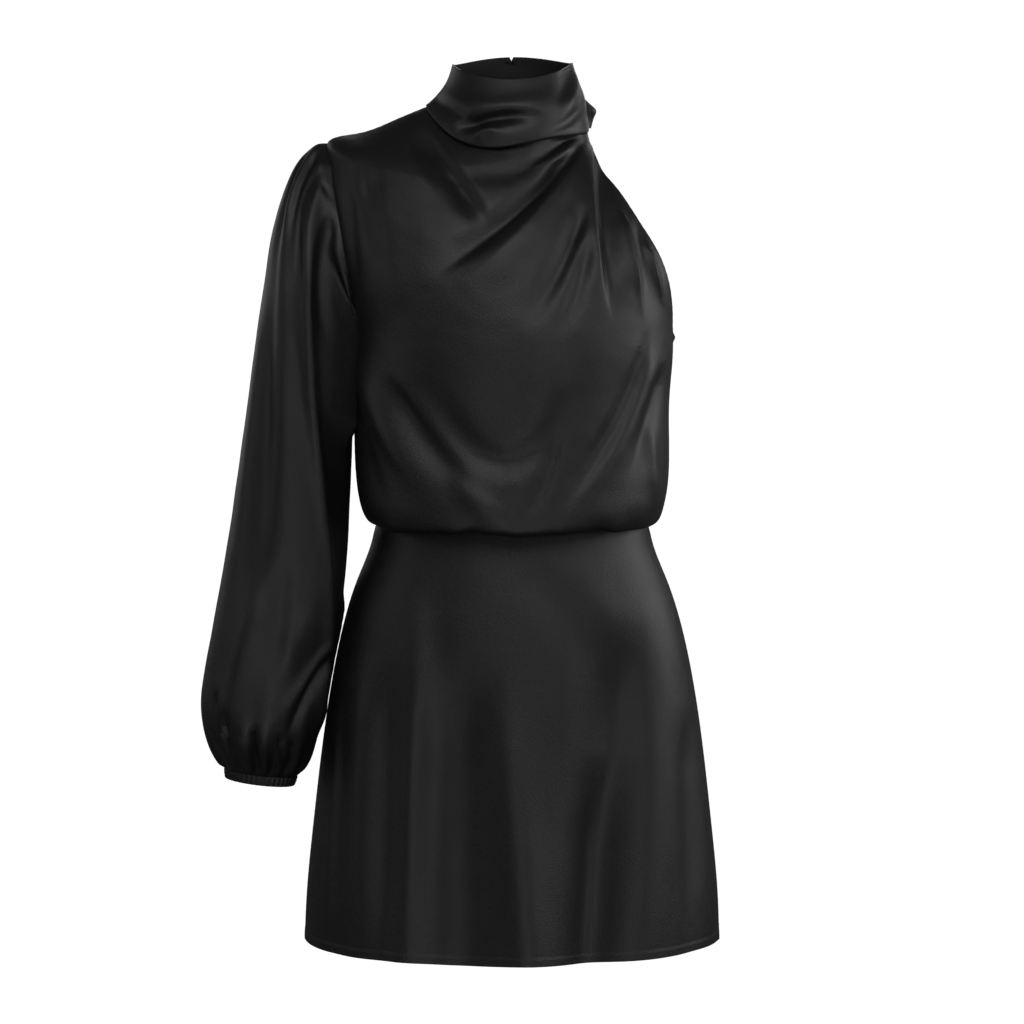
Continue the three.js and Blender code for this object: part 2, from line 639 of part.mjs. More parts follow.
function collarHeight(at, share, point) {
  const hold = ease(0, 0.08, share) * ease(0, 0.08, 1 - share) * ease(54, 46, at) * ease(0, 4, at);
  const folds = point.y < 0 ? COLLAR_FOLDS : COLLAR_BACK_FOLDS;
  return hold * Math.min(1, Math.abs(point.y) / 14) * foldHeight(folds, point.x, point.z);
}

function collarGrid() {
  const base = COLLAR_ROWS.map((at) => collarAngles(at).map((angle) => collarPoint(angle, at)));
  return pushed(base, (point, r, c) => collarHeight(COLLAR_ROWS[r], c / COLLAR_COLUMNS, point));
}

function collar() {
  const side = () => "x";
  return piece("collar", wall(collarGrid(), { bottom: "z", first: side, last: side }));
}

// The folded end of the collar cloth, standing off the back of the bare side.
const COLLAR_END = columns(`share z free away`, [
  [0, -21.5, 2, 0.5],
  [0.25, -14, 5, 1.5],
  [0.5, -6, 8.5, 2.5],
  [0.7, 0, 10.5, 3],
  [0.85, 5, 6.5, 2],
  [1, 10.5, 1.5, 0.5],
]);

function collarAtHeight(angle, z) {
  let low = 0;
  let high = 51;
  for (let i = 0; i < 30; i++) {
    const middle = (low + high) / 2;
    if (section(COLLAR, angle, middle).z > z) low = middle;
    else high = middle;
  }
  return section(COLLAR, angle, low);
}

function collarEnd() {
  const grid = steps(0, 1, 8).map((share) => {
    const root = collarAtHeight(radians(192), COLLAR_END.z(share));
    const free = COLLAR_END.free(share);
    return steps(0, 1, 4).map((out) => {
      const curl = COLLAR_END.away(share) * Math.sin(Math.PI * out);
      return new THREE.Vector3(root.x + 0.7 + free * out, root.y - curl + 4 * out, root.z - 1.5 * out);
    });
  });
  return piece("collar_end", wall(grid));
}

// Fastening wires
function wire(points, radius) {
  const curve = new THREE.CatmullRomCurve3(points);
  const length = 12;
  const sides = 5;
  const tube = new THREE.TubeGeometry(curve, length, radius, sides, false);
  const at = tube.attributes.position;
  const ring = (i, j) => new THREE.Vector3().fromBufferAttribute(at, i * (sides + 1) + j % sides);
  const places = [];
  const face = (...corners) => corners.forEach((p) => places.push(p.x, p.y, p.z));
  for (let j = 0; j < sides; j++) {
    face(points[0], ring(0, j), ring(0, j + 1));
    face(points[points.length - 1], ring(length, j + 1), ring(length, j));
    for (let i = 0; i < length; i++) {
      face(ring(i, j), ring(i + 1, j), ring(i + 1, j + 1));
      face(ring(i, j), ring(i + 1, j + 1), ring(i, j + 1));
    }
  }
  return geometryOf(places);
}

const FASTENING_AT = 6.5;

function fasteningPlace() {
  const back = section(COLLAR, 1.5 * Math.PI, FASTENING_AT);
  return { y: back.y - CLOTH - SEAM_GAP - HOOK_WIRE - 0.6, z: back.z };
}

function hook() {
  const { y, z } = fasteningPlace();
  const path = [[-6.5, 0], [-3.4, -0.25], [-0.4, -1.1], [1.2, -1.2], [2.2, -0.55], [2.1, 0.2]];
  return piece("hook", wire(path.map(([x, off]) => new THREE.Vector3(x, y + off, z)), HOOK_WIRE), HOOK_METAL);
}

function eye() {
  const { y, z } = fasteningPlace();
  const path = [[5.4, -1.8], [3, -1.8], [1, -1.2], [0.7, 0], [1, 1.2], [3, 1.8], [5.4, 1.8]];
  return piece("eye", wire(path.map(([x, up]) => new THREE.Vector3(x, y, z + up)), HOOK_WIRE), HOOK_METAL);
}

const dress = new THREE.Group();
dress.name = "one_shoulder_dress";
dress.add(frontBodice(), backBodice("left"), backBodice("right"));
dress.add(skirt("skirt_front", 0, SKIRT_FRONT_FOLDS), skirt("skirt_back", Math.PI, SKIRT_BACK_FOLDS));
dress.add(sleeve(), cuff(), collar(), collarEnd(), hook(), eye());

export default dress;
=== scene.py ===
"""One-shoulder dress in black satin: fine cloth, stitching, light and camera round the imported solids."""

import math

import bpy
import numpy as np
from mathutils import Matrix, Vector


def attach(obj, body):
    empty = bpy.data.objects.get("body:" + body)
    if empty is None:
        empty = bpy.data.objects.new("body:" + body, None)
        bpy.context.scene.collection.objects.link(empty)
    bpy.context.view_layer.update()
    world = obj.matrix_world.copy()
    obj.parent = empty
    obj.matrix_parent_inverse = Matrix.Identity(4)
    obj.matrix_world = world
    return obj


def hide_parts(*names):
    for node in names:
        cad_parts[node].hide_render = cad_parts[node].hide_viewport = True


bl_info = {
    "name": "One-shoulder dress",
    "version": (1, 0, 0),
    "blender": (4, 5, 0),
    "location": "View3D > Sidebar > Dress",
    "description": "Draped satin dress with one bishop sleeve, a folded collar and a plain skirt",
    "category": "Object",
}

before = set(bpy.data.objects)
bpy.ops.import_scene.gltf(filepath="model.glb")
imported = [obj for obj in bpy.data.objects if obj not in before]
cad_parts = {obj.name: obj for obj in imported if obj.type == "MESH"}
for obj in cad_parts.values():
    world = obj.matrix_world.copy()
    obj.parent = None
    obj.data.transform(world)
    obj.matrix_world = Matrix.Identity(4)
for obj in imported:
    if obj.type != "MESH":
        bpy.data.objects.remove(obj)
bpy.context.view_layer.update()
MM = 0.001

# All sizes below are in millimetres. Heights up the side of the bodice where its outline changes:
SHOULDER_AT = 388
NECK_AT = 491
ARMHOLE_FOOT_AT = 209
BARE_FOOT_AT = 194
SLIT_FOOT_AT = 345
SLIT_HALF = 0.9
CENTRE_BACK = -0.6
SEAM_GAP = 0.04

# Distances down the collar from its top edge, up the skirt from its hem, and down the sleeve
COLLAR_TURN = 51
COLLAR_FOOT = 63
SKIRT_TOP = 413
BALLOON_AT = 560
SLEEVE_END = 629

# Columns of the cloth grids, and how much closer they lie towards the bare edge of the front
FRONT_COLUMNS = 190
BACK_COLUMNS = 84
SKIRT_COLUMNS = 170
SLEEVE_COLUMNS = 200
COLLAR_COLUMNS = 220
FRONT_BIAS = 0.1

# Widths of the panels, seam to seam
FRONT_WIDTH = 430
BACK_WIDTH = 210
SKIRT_WIDTH = 560

CUFF_HEIGHT = 9
CUFF_RIBS = 44
WRIST_GATHERS = 15
HOOK_WIRE = 0.42
STITCH_WIRE = 0.2
# Lengths of the waves in the slow ripples of worn cloth, the tallest first
RIPPLE_LENGTHS = (95, 70, 48, 34, 25)


# Curves and sections


class Shape:
    """Named smooth columns over one key, as the dress's sections are listed."""

    def __init__(self, names, rows):
        rows = np.array(rows, float)
        self.keys = rows[:, 0]
        for i, name in enumerate(names.split()[1:]):
            setattr(self, name, spline(self.keys, rows[:, i + 1]))


def spline(keys, values):
    """A smooth curve through the values, with free ends."""
    count = len(keys)
    system = np.eye(count)
    turn = np.zeros(count)
    for i in range(1, count - 1):
        before, after = keys[i] - keys[i - 1], keys[i + 1] - keys[i]
        system[i, i - 1], system[i, i], system[i, i + 1] = before, 2 * (before + after), after
        turn[i] = 6 * ((values[i + 1] - values[i]) / after - (values[i] - values[i - 1]) / before)
    bend = np.linalg.solve(system, turn)

    def curve(key):
        k = np.clip(key, keys[0], keys[-1])
        i = np.clip(np.searchsorted(keys, k, side="left") - 1, 0, count - 2)
        span = keys[i + 1] - keys[i]
        a = (keys[i + 1] - k) / span
        b = 1 - a
        extra = (a**3 - a) * bend[i] + (b**3 - b) * bend[i + 1]
        return a * values[i] + b * values[i + 1] + extra * span * span / 6

    return curve


def mix(a, b, t):
    return a + (b - a) * t


def ease(low, high, value):
    t = np.clip((value - low) / (high - low), 0, 1)
    return t * t * (3 - 2 * t)


def section(shape, angle, at):
    """Points of a section: angle 0 is the sleeve side, then front, bare side and back."""
    left, right = shape.left(at), shape.right(at)
    c, s = np.cos(angle), np.sin(angle)
    double = np.sin(2 * angle)
    swell = 1 + shape.full(at) * double**2
    x = (right - left) / 2 - (left + right) / 2 * c * swell
    level = shape.z(at) + shape.slant(at) * (1 - c) / 2
    back = s < 0
    climb = shape.rise(at) * s * s - shape.sag(at) * double**2
    lean = shape.drop(at) * np.abs(s) ** 1.4 + shape.tilt(at) * double * s
    y = np.where(back, -shape.back(at) * s * swell, -shape.front(at) * s * swell)
    z = np.where(back, level + climb, level - lean)
    return np.stack([x, y, z], axis=-1)


BODICE = Shape(
    "at z slant left right front back drop rise tilt sag full",
    [
        (0, -384, 0, 124.5, 124.5, 92, 86, 3.5, 0, 0, 0, 0.02),
        (8, -390.8, 0, 129.5, 129.5, 103, 90, 3.7, 0, 0, 0, 0.02),
        (15, -394.6, 0, 134, 134, 117.5, 95, 3.8, 0, 0, 0, 0.03),
        (23, -392.8, 0, 138.5, 139, 128, 99.5, 3.7, 0, 0, 0, 0.04),
        (34, -385, 0, 142.8, 143.4, 131.4, 103, 3.2, 0, 0, 0, 0.05),
        (60, -360, 0, 148.3, 149, 131, 105, 1.6, 0, 0, 0, 0.05),
        (100, -320, 0, 150.8, 150.3, 129, 102, 0, 0, 0, 0, 0.05),
        (150, -270, 0, 150.2, 150.8, 129, 100, 0, 0, 0, 0, 0.045),
        (194, -226, 0, 147.9, 153.8, 130.5, 102, 1, 0, 0, 0, 0.04),
        (209, -211, 0, 148.4, 153.6, 130, 102.5, 2, 0, 0, 0, 0.04),
        (240, -180, -1, 156.6, 156.6, 126, 104, 4.5, 0, 0, 0, 0.035),
        (280, -140, -2.5, 168.3, 158.2, 117.5, 105, 9.5, 0, 0, 0, 0.03),
        (320, -100, -5, 174.3, 140.7, 106, 104, 14.5, 0, 0, 1, 0.02),
        (356, -64, -8.5, 176.2, 113.2, 93, 98, 20.5, 1, 0, 4, 0.01),
        (376, -45, -11, 176, 96.9, 86.5, 92, 26, 2, 1, 8, 0),
        (388, -34.2, -13, 175.5, 88.3, 82.5, 88, 30, 4, 2, 11, 0),
        (417, -25, -16, 148.2, 80.3, 76.5, 80.5, 27.4, 8, 4, 13, 0),
        (454, -12.8, -20, 113, 74.2, 68, 72, 24.8, 13, 7, 8, 0),
        (491, 1.5, -25, 78.5, 72, 58, 62, 23, 19, 11, 0, 0),
    ],
)
ARMHOLE = Shape(
    "at front back",
    [
        (209, 0, 0), (218, 9, 9), (234, 17.3, 15), (263, 23.3, 20), (292, 24.7, 22),
        (324, 23, 22), (358, 18.6, 19), (376, 12, 13), (388, 0, 0),
    ],
)
BARE_EDGE = Shape(
    "at front back",
    [
        (194, 0, 0), (200, 3.5, 4), (209, 6.5, 9), (240, 18.5, 25), (280, 29.5, 39), (320, 31.5, 44),
        (356, 26, 39), (376, 21, 33), (388, 18, 29), (417, 13, 21), (454, 8, 12), (491, 1.5, 1.5),
    ],
)
COLLAR = Shape(
    "at z slant left right front back drop rise tilt sag full",
    [
        (0, 40.5, 1.5, 56.5, 57.5, 57, 57, 20, 11, 0, 0, 0),
        (9, 33, 1, 58.6, 59.6, 60.5, 58.5, 21, 11.5, 0, 0, 0),
        (22, 21.5, 0, 63.6, 64.4, 65.5, 60.5, 22, 12, 1, 0, 0),
        (34, 11, -4, 71.6, 69.5, 69.8, 62.5, 24, 15, 5, 0, 0),
        (44, 4.2, -14, 78.8, 71.8, 71.4, 63.5, 27, 19.5, 9, 0, 0),
        (51, 2.4, -21, 81.4, 73, 71.2, 63.5, 30, 20.5, 11, 0, 0),
        (55, 1.9, -23.8, 81.5, 73.1, 69.3, 63.1, 31.6, 20.4, 11, 0, 0),
        (58, 1, -24.6, 80, 72.2, 64.5, 62, 29.5, 19.8, 11, 0, 0),
        (63, -0.6, -25, 76.6, 70.2, 56.4, 60.2, 23, 19, 11, 0, 0),
    ],
)
SKIRT = Shape(
    "at z slant left right front back drop rise tilt sag full",
    [
        (0, -797.5, 1, 201, 201, 151, 153, -4.5, 3, 0, 0, 0),
        (34, -763.2, 0, 199.5, 199.9, 145, 149, -3, 2, 0, 0, 0),
        (113, -684.6, 0, 192, 192.7, 132, 139, -1, 1, 0, 0, 0),
        (191, -606.5, 0, 182.6, 183.6, 120.5, 131, 0, 0, 0, 0, 0.01),
        (250, -548.1, 0, 173.6, 174.6, 114.5, 127, 0, 0, 0, 0, 0.015),
        (308, -489.8, 0, 161.3, 161.8, 108, 120, 0, 0, 0, 0, 0.02),
        (347, -451.2, 0, 149.1, 149.1, 102.5, 109, 0, 0, 0, 0, 0.02),
        (386, -412.5, 0, 134.5, 134.5, 96.5, 95, 0, 0, 0, 0, 0.02),
        (404, -394, 0, 129.2, 129.2, 93.7, 89.5, 1, 0, 0, 0, 0.02),
        (413, -384.4, 0, 124.1, 124.1, 91.6, 85.6, 3.5, 0, 0, 0, 0.02),
    ],
)
SLEEVE = Shape(
    "down outX outZ inX inZ front back shift",
    [
        (0, -175.8, -32.3, -148.9, -211.2, 46, 38, -5),
        (15, -189.8, -37, -149.8, -216, 50, 44, -4),
        (34, -203.2, -50.1, -150.4, -225.5, 54, 50, -3),
        (55, -212.9, -69, -150.9, -236, 57, 54, -2),
        (82, -221.7, -94.4, -151.4, -247.5, 60, 57, -1),
        (114, -229.6, -125.7, -151.8, -260.9, 62, 59, 0),
        (153, -235.6, -163.6, -152.1, -278.1, 62, 60, 0),
        (198, -242.6, -208.4, -152.8, -302, 62, 60, 0),
        (254, -250.5, -263.7, -153.8, -335.5, 61, 60, -1),
        (317, -259.4, -325.8, -155.8, -378.6, 60, 60, -3),
        (384, -269.2, -392.8, -158.2, -426.5, 60, 60, -6),
        (443, -278.9, -450.2, -162.6, -469.5, 61, 61, -9),
        (501, -289.6, -507.8, -170.6, -512.6, 62, 62, -12),
        (540, -296.4, -546.1, -177.2, -548.1, 61, 61, -14),
        (559, -298.4, -565.3, -180.4, -568.2, 62, 59, -15),
        (580, -296.5, -586.4, -184, -591.2, 60, 54, -16.5),
        (600, -290.7, -605.5, -189.4, -609.4, 52, 46, -18),
        (617, -283, -619.9, -196.4, -624.7, 38.5, 36, -19),
        (629, -275.6, -629.6, -206.3, -638.2, 26.5, 26.5, -20),
    ],
)
COLLAR_END = Shape(
    "share z free away",
    [
        (0, -21.5, 2, 0.5), (0.25, -14, 5, 1.5), (0.5, -6, 8.5, 2.5),
        (0.7, 0, 10.5, 3), (0.85, 5, 6.5, 2), (1, 10.5, 1.5, 0.5),
    ],
)

# Folds seen from the front or back: start, middle and end (x, z), height out of the cloth,
# half width at the start and at the end, and lean: above 0 the right of a line that runs down is steeper.
FRONT_FOLDS = [
    # drape from under the collar on the bare side
    (72, -26, 5, -101, -84, -166, -11, 6, 12, 0.35), (78, -26, 14, -116, -72, -194, 6, 9, 20, -0.3),
    (66, -26, 38, -42, -8, -76, -6, 5, 8, 0.3), (62, -36, 38, -56, 2, -90, 3, 4, 6, 0),
    (68, -92, 45, -152, 6, -214, -6, 6, 13, 0.2), (74, -116, 60, -172, 40, -222, -4, 5, 10, 0),
    # drape from the sleeve side of the neck
    (-98, -8, -52, -70, -14, -128, -9, 8, 11, 0.3), (-94, -26, -79, -56, -56, -96, -2.4, 6, 8, 0),
    (-138, -44, -128, -110, -108, -188, -5, 8, 12, 0), (-130, -66, -118, -142, -98, -204, 3.6, 10, 16, 0),
    (-154, -60, -149, -131, -144, -185, -3, 6, 9, 0),
    # creases falling from the bare edge
    (74, -24, 76, -115, 91, -210, 5, 7, 7, 0.75), (80, -40, 88, -120, 94, -206, -8, 7, 9, -0.2),
    (101, -96, 111, -142, 122, -208, 3, 8, 10, 0), (101, -96, 111, -142, 122, -206, 4, 2.3, 2.6, 0.2),
    (112, -104, 122, -150, 132, -204, -3.4, 5, 7, 0), (123, -126, 133, -158, 142, -192, 4, 2.4, 3, 0),
    # wide drapes over the middle and the blouse
    (-106, -206, -8, -330, 80, -206, -6, 15, 15, 0), (-122, -246, -79, -311, -26, -368, -7, 9, 14, 0.2),
    (-144, -218, -122, -298, -64, -380, 4, 8, 12, -0.2),
    (-152, -252, -139, -318, -114, -380, -4, 6, 10, 0), (126, -206, 97, -297, 26, -394, -6, 5, 11, 0.3),
    (134, -224, 108, -292, 54, -388, 4, 9, 13, 0), (142, -238, 128, -292, 100, -380, -4.4, 5, 9, 0),
    (128, -288, 132, -340, 134, -388, 2.6, 4, 6, 0), (44, -300, 30, -348, 10, -390, -3.4, 6, 9, 0.2),
    (46, -210, 22, -300, -4, -384, 4, 20, 24, 0), (-60, -335, -30, -368, 6, -390, 3, 10, 12, 0),
]
BACK_FOLDS = [
    (-120, -60, -112, -150, -98, -230, -3, 12, 16, 0), (-88, -40, -70, -130, -52, -220, 3, 10, 18, 0),
    (62, -30, 50, -130, 34, -230, -4, 7, 16, 0), (84, -80, 82, -160, 72, -250, 3.5, 8, 14, 0),
    (112, -130, 112, -200, 104, -290, -3, 8, 13, 0), (-118, -240, -96, -310, -62, -368, -4, 11, 15, 0),
    (-62, -250, -40, -320, -16, -370, 3, 14, 18, 0), (64, -260, 48, -320, 22, -370, -3.5, 12, 16, 0),
    (124, -250, 112, -310, 88, -368, 3, 9, 14, 0),
]
SKIRT_FRONT_FOLDS = [
    (-164, -560, -168, -660, -180, -860, 2.6, 5, 6, 0.3),
    (-138, -500, -142, -660, -150, -900, 4.5, 18, 11, 0),
    (-112, -500, -116, -680, -124, -900, -5, 18, 10, 0), (-88, -440, -92, -600, -98, -800, 4, 16, 9, 0.1),
    (-76, -520, -78, -740, -82, -1150, -6.5, 20, 15, 0),
    (-44, -480, -46, -740, -44, -1150, -13, 34, 24, 0), (-14, -520, 10, -715, 28, -940, 8, 26, 14, 0),
    (112, -470, 84, -720, 50, -1180, -17, 34, 26, 0.15), (92, -600, 76, -790, 56, -1150, -10, 26, 22, 0),
    (130, -420, 134, -640, 134, -900, 4.5, 26, 20, 0), (166, -560, 168, -690, 174, -900, -4, 12, 10, 0),
    (40, -396, 80, -450, 140, -540, 2, 18, 28, 0), (10, -410, 56, -480, 120, -590, -2.6, 18, 26, 0),
    (-60, -390, -74, -470, -92, -590, -3, 20, 28, 0),
]
SKIRT_BACK_FOLDS = [
    (-130, -540, -146, -680, -154, -830, 5, 11, 17, 0), (-92, -520, -98, -670, -104, -830, -5, 12, 18, 0),
    (-44, -560, -48, -690, -52, -830, 5, 12, 18, 0), (6, -540, 6, -690, 6, -830, -5, 14, 19, 0),
    (56, -560, 60, -690, 64, -830, 5, 12, 18, 0), (104, -520, 112, -670, 118, -830, -5, 12, 18, 0),
    (138, -540, 154, -680, 164, -830, 4, 9, 13, 0),
]
COLLAR_FOLDS = [
    (57, 50, 58, 12, 40, -20, 2.2, 4, 6, 0.2), (50, 50, 50, 16, 28, -10, -1.6, 6, 8, 0),
    (64, 16, 62, -8, 24, -34, -2.6, 4, 5, 0), (-80, 8, -4, -4, 66, 16, 2.6, 10, 11, 0.1),
    (-58, -28, -14, -13, 34, -15, -8.5, 6, 6, 0.3), (-84, 10, -58, -4, -30, -26, -3.4, 6, 7, 0),
    (-38, -36, -22, -25, -4, -36, 3.4, 5.5, 6, 0),
]
COLLAR_BACK_FOLDS = [
    (-70, 6, -46, 18, -18, 22, -1.6, 5, 6, 0), (66, 4, 44, 20, 16, 26, -1.6, 5, 6, 0),
]
# Folds of the sleeve: start, middle and end as degrees round and millimetres down.
SLEEVE_FOLDS = [
    # pleats laid into the cap
    (14, 4, 27, 66, 46, 148, -4, 5, 10, 0), (12, 4, 31, 48, 54, 128, 3.4, 5, 10, 0),
    (20, 1, 38, 43, 66, 124, -5.4, 4, 9, 0), (32, 4, 56, 51, 80, 130, -5.4, 4, 10, 0),
    (28, 2, 50, 33, 78, 90, 3.6, 4, 8, 0), (44, 8, 66, 38, 88, 110, 3, 5, 10, 0.2),
    (66, 2, 58, 8, 46, 17, -2.4, 3, 3, 0), (70, -20, 92, 50, 116, 150, -5, 8, 11, 0),
    (338, 4, 328, 26, 316, 66, -4.5, 4, 9, 0), (326, 4, 316, 30, 304, 84, 3.5, 4, 9, 0),
    (314, 4, 302, 44, 292, 116, -4, 4, 10, 0), (300, 6, 288, 44, 278, 110, 2.5, 4, 9, 0),
    # long soft folds down the sleeve
    (48, 90, 70, 210, 88, 420, 4, 9, 16, 0), (42, 140, 58, 310, 70, 500, -4, 10, 16, 0),
    (20, 160, 34, 300, 46, 440, 2, 12, 16, 0), (250, 90, 238, 270, 222, 470, 4, 10, 16, 0),
    (292, 140, 284, 300, 270, 450, -3.5, 12, 18, 0), (330, 180, 324, 320, 316, 470, 3, 12, 18, 0),
    # creases over the balloon
    (164, 494, 143, 538, 114, 592, -6, 5, 6, 0.2), (158, 486, 134, 530, 104, 580, 3, 5, 7, 0),
    (74, 410, 64, 520, 54, 610, 4.4, 13, 15, 0), (96, 380, 98, 480, 122, 590, -4, 11, 11, 0),
    (112, 440, 108, 530, 102, 610, 4, 12, 13, 0), (46, 540, 46, 574, 48, 626, -5, 5, 4, 0),
    (300, 530, 310, 566, 322, 600, -3, 8, 8, 0),
    # deeper gathers over the cuff
    (62, 556, 57, 590, 51, 626, -4.6, 3, 3, 0), (88, 566, 87, 596, 86, 628, -4.2, 3, 3, 0),
    (112, 576, 117, 600, 122, 628, -4.2, 3, 3, 0), (126, 586, 132, 606, 138, 630, -2.6, 3, 3, 0),
    (72, 580, 72, 604, 70, 628, 2, 3, 3, 0),
]
DEGREE_OF_SLEEVE = 1.02

# The sleeve's front falls to a long edge, and lies flat from there to the corner beside the body.
SLEEVE_EDGE = Shape(
    "down edge corner",
    [
        (0, 70, 150), (56, 80, 150), (150, 95, 150), (215, 105, 152), (262, 114, 160), (330, 126, 174),
        (384, 136, 177), (486, 153, 178), (560, 160, 179), (629, 162, 180),
    ],
)
# Where that edge lies in an even spread of the sleeve's columns, in degrees
EDGE_COLUMN = 99


# Folds


def fold_height(folds, x, z):
    """Height of the cloth out of its plain form, summed over smooth lines through three points."""
    total = np.zeros_like(x)
    for x0, z0, x1, z1, x2, z2, height, narrow, wide, lean in folds:
        t = np.linspace(0, 1, 17)
        cx, cz = 2 * x1 - (x0 + x2) / 2, 2 * z1 - (z0 + z2) / 2
        line_x = (1 - t) ** 2 * x0 + 2 * t * (1 - t) * cx + t * t * x2
        line_z = (1 - t) ** 2 * z0 + 2 * t * (1 - t) * cz + t * t * z2
        far, place, side = nearest(line_x, line_z, x, z)
        width = mix(narrow, wide, place) * (1 - lean * side)
        ends = ease(0, 0.3, place) * ease(1, 0.55, place)
        total += height * ends * np.exp(-((far / width) ** 2))
    return total


def nearest(line_x, line_z, x, z):
    """Distance to a line, the share of the way along it, and which side of it each point is on."""
    far = np.full(x.shape, 1e9)
    place = np.zeros(x.shape)
    side = np.zeros(x.shape)
    count = len(line_x) - 1
    for i in range(count):
        dx, dz = line_x[i + 1] - line_x[i], line_z[i + 1] - line_z[i]
        px, pz = x - line_x[i], z - line_z[i]
        along = np.clip((px * dx + pz * dz) / (dx * dx + dz * dz), 0, 1)
        here = np.hypot(px - along * dx, pz - along * dz)
        nearer = here < far
        far = np.where(nearer, here, far)
        place = np.where(nearer, (i + along) / count, place)
        across = (px * dz - pz * dx) / math.hypot(dx, dz)
        side = np.where(nearer, np.tanh(-across / 2), side)
    return far, place, side


def ripple(u, v, seed):
    """Slow uneven waves of a cloth that was worn and hung, about 1 high."""
    rng = np.random.default_rng(seed)
    total = np.zeros_like(u)
    for length in RIPPLE_LENGTHS:
        turn, shift = rng.uniform(0, math.pi), rng.uniform(0, 7)
        other = rng.uniform(0, 7)
        way = u * math.cos(turn) + v * math.sin(turn)
        cross = v * math.cos(turn) - u * math.sin(turn)
        bent = way + 0.25 * length * np.sin(cross / length * 2.3 + other)
        size = (length / RIPPLE_LENGTHS[0]) ** 0.8
        total += size * np.sin(2 * math.pi * bent / length + shift)
    return total / 1.8


# Cloth meshes


def grid_normals(grid, around):
    if around:
        across = np.roll(grid, -1, axis=1) - np.roll(grid, 1, axis=1)
    else:
        across = np.gradient(grid, axis=1)
    up = np.gradient(grid, axis=0)
    out = np.cross(across, up)
    return out / np.linalg.norm(out, axis=-1, keepdims=True)


def pushed(grid, height, around=False):
    return grid + grid_normals(grid, around) * height[..., None]


def along_grid(grid):
    """Distance across and up a grid, in millimetres, for the weave."""
    across = np.linalg.norm(np.diff(grid, axis=1), axis=-1).mean(axis=0)
    up = np.linalg.norm(np.diff(grid, axis=0), axis=-1).mean(axis=1)
    u = np.concatenate([[0], np.cumsum(across)])
    v = np.concatenate([[0], np.cumsum(up)])
    return np.meshgrid(u, v)


def worn_waves(cloth, grid, seed, upright=1):
    """Slow ripples of a panel, longer up it where upright is below 1."""
    u, v = along_grid(grid)
    return cloth.unevenness / MM * ripple(u, v * upright, seed)


EDGE_LINES = {"bottom": np.s_[0, :], "top": np.s_[-1, :], "first": np.s_[:, 0], "last": np.s_[:, -1]}


def cloth_object(name, grid, thickness, looks, around=False, seams=None):
    """A thin closed wall of cloth between the grid and the same grid moved in.

    At a seam edge the wall doesn't lean along the given axis, so that panels meet without a gap.
    """
    rows, cols = grid.shape[:2]
    normals = grid_normals(grid, around)
    for edge, axis in (seams or {}).items():
        flat = normals[EDGE_LINES[edge]].copy()
        flat[:, axis] = 0
        normals[EDGE_LINES[edge]] = flat / np.linalg.norm(flat, axis=-1, keepdims=True)
    inner = grid - normals * thickness
    points = np.concatenate([grid.reshape(-1, 3), inner.reshape(-1, 3)])
    index = np.arange(rows * cols).reshape(rows, cols)
    strip = np.roll(index, -1, axis=1) if around else index[:, 1:]
    base = index if around else index[:, :-1]
    a, b, c, d = base[:-1], strip[:-1], strip[1:], base[1:]
    shift = rows * cols
    outer_faces = np.stack([a, b, c, d], axis=-1).reshape(-1, 4)
    inner_faces = np.stack([a, d, c, b], axis=-1).reshape(-1, 4) + shift
    foot, foot_next = base[0], strip[0]
    head, head_next = base[-1], strip[-1]
    rims = [
        np.stack([foot, foot + shift, foot_next + shift, foot_next], axis=-1),
        np.stack([head, head_next, head_next + shift, head + shift], axis=-1),
    ]
    if not around:
        first, last = index[:, 0], index[:, -1]
        rims.append(np.stack([first[:-1], first[1:], first[1:] + shift, first[:-1] + shift], axis=-1))
        rims.append(np.stack([last[:-1], last[:-1] + shift, last[1:] + shift, last[1:]], axis=-1))
    sets = [outer_faces, inner_faces, np.concatenate(rims)]
    slots = np.repeat([0, 1, 0], [len(part) for part in sets])
    flat = np.stack(along_grid(grid), axis=-1).reshape(-1, 2) * MM
    flat = np.concatenate([flat, flat])
    return mesh_object(name, points, np.concatenate(sets).tolist(), looks, flat, slots)


def new_object(name, data):
    obj = bpy.data.objects.new(name, data)
    bpy.context.scene.collection.objects.link(obj)
    return obj


def mesh_object(name, points, faces, looks, flat=None, slots=None, sharp_from=60):
    """An object of points in millimetres; edges that turn more than sharp_from degrees stay sharp."""
    mesh = bpy.data.meshes.new(name)
    mesh.from_pydata((np.asarray(points) * MM).tolist(), [], faces)
    mesh.polygons.foreach_set("use_smooth", [True] * len(mesh.polygons))
    for look in looks:
        mesh.materials.append(look)
    if slots is not None and len(looks) > 1:
        mesh.polygons.foreach_set("material_index", slots)
    if flat is not None:
        layer = mesh.uv_layers.new(name="cloth")
        loops = np.zeros(len(mesh.loops), int)
        mesh.loops.foreach_get("vertex_index", loops)
        layer.data.foreach_set("uv", flat[loops].ravel())
    mesh.set_sharp_from_angle(angle=math.radians(sharp_from))
    mesh.update()
    return new_object(name, mesh)


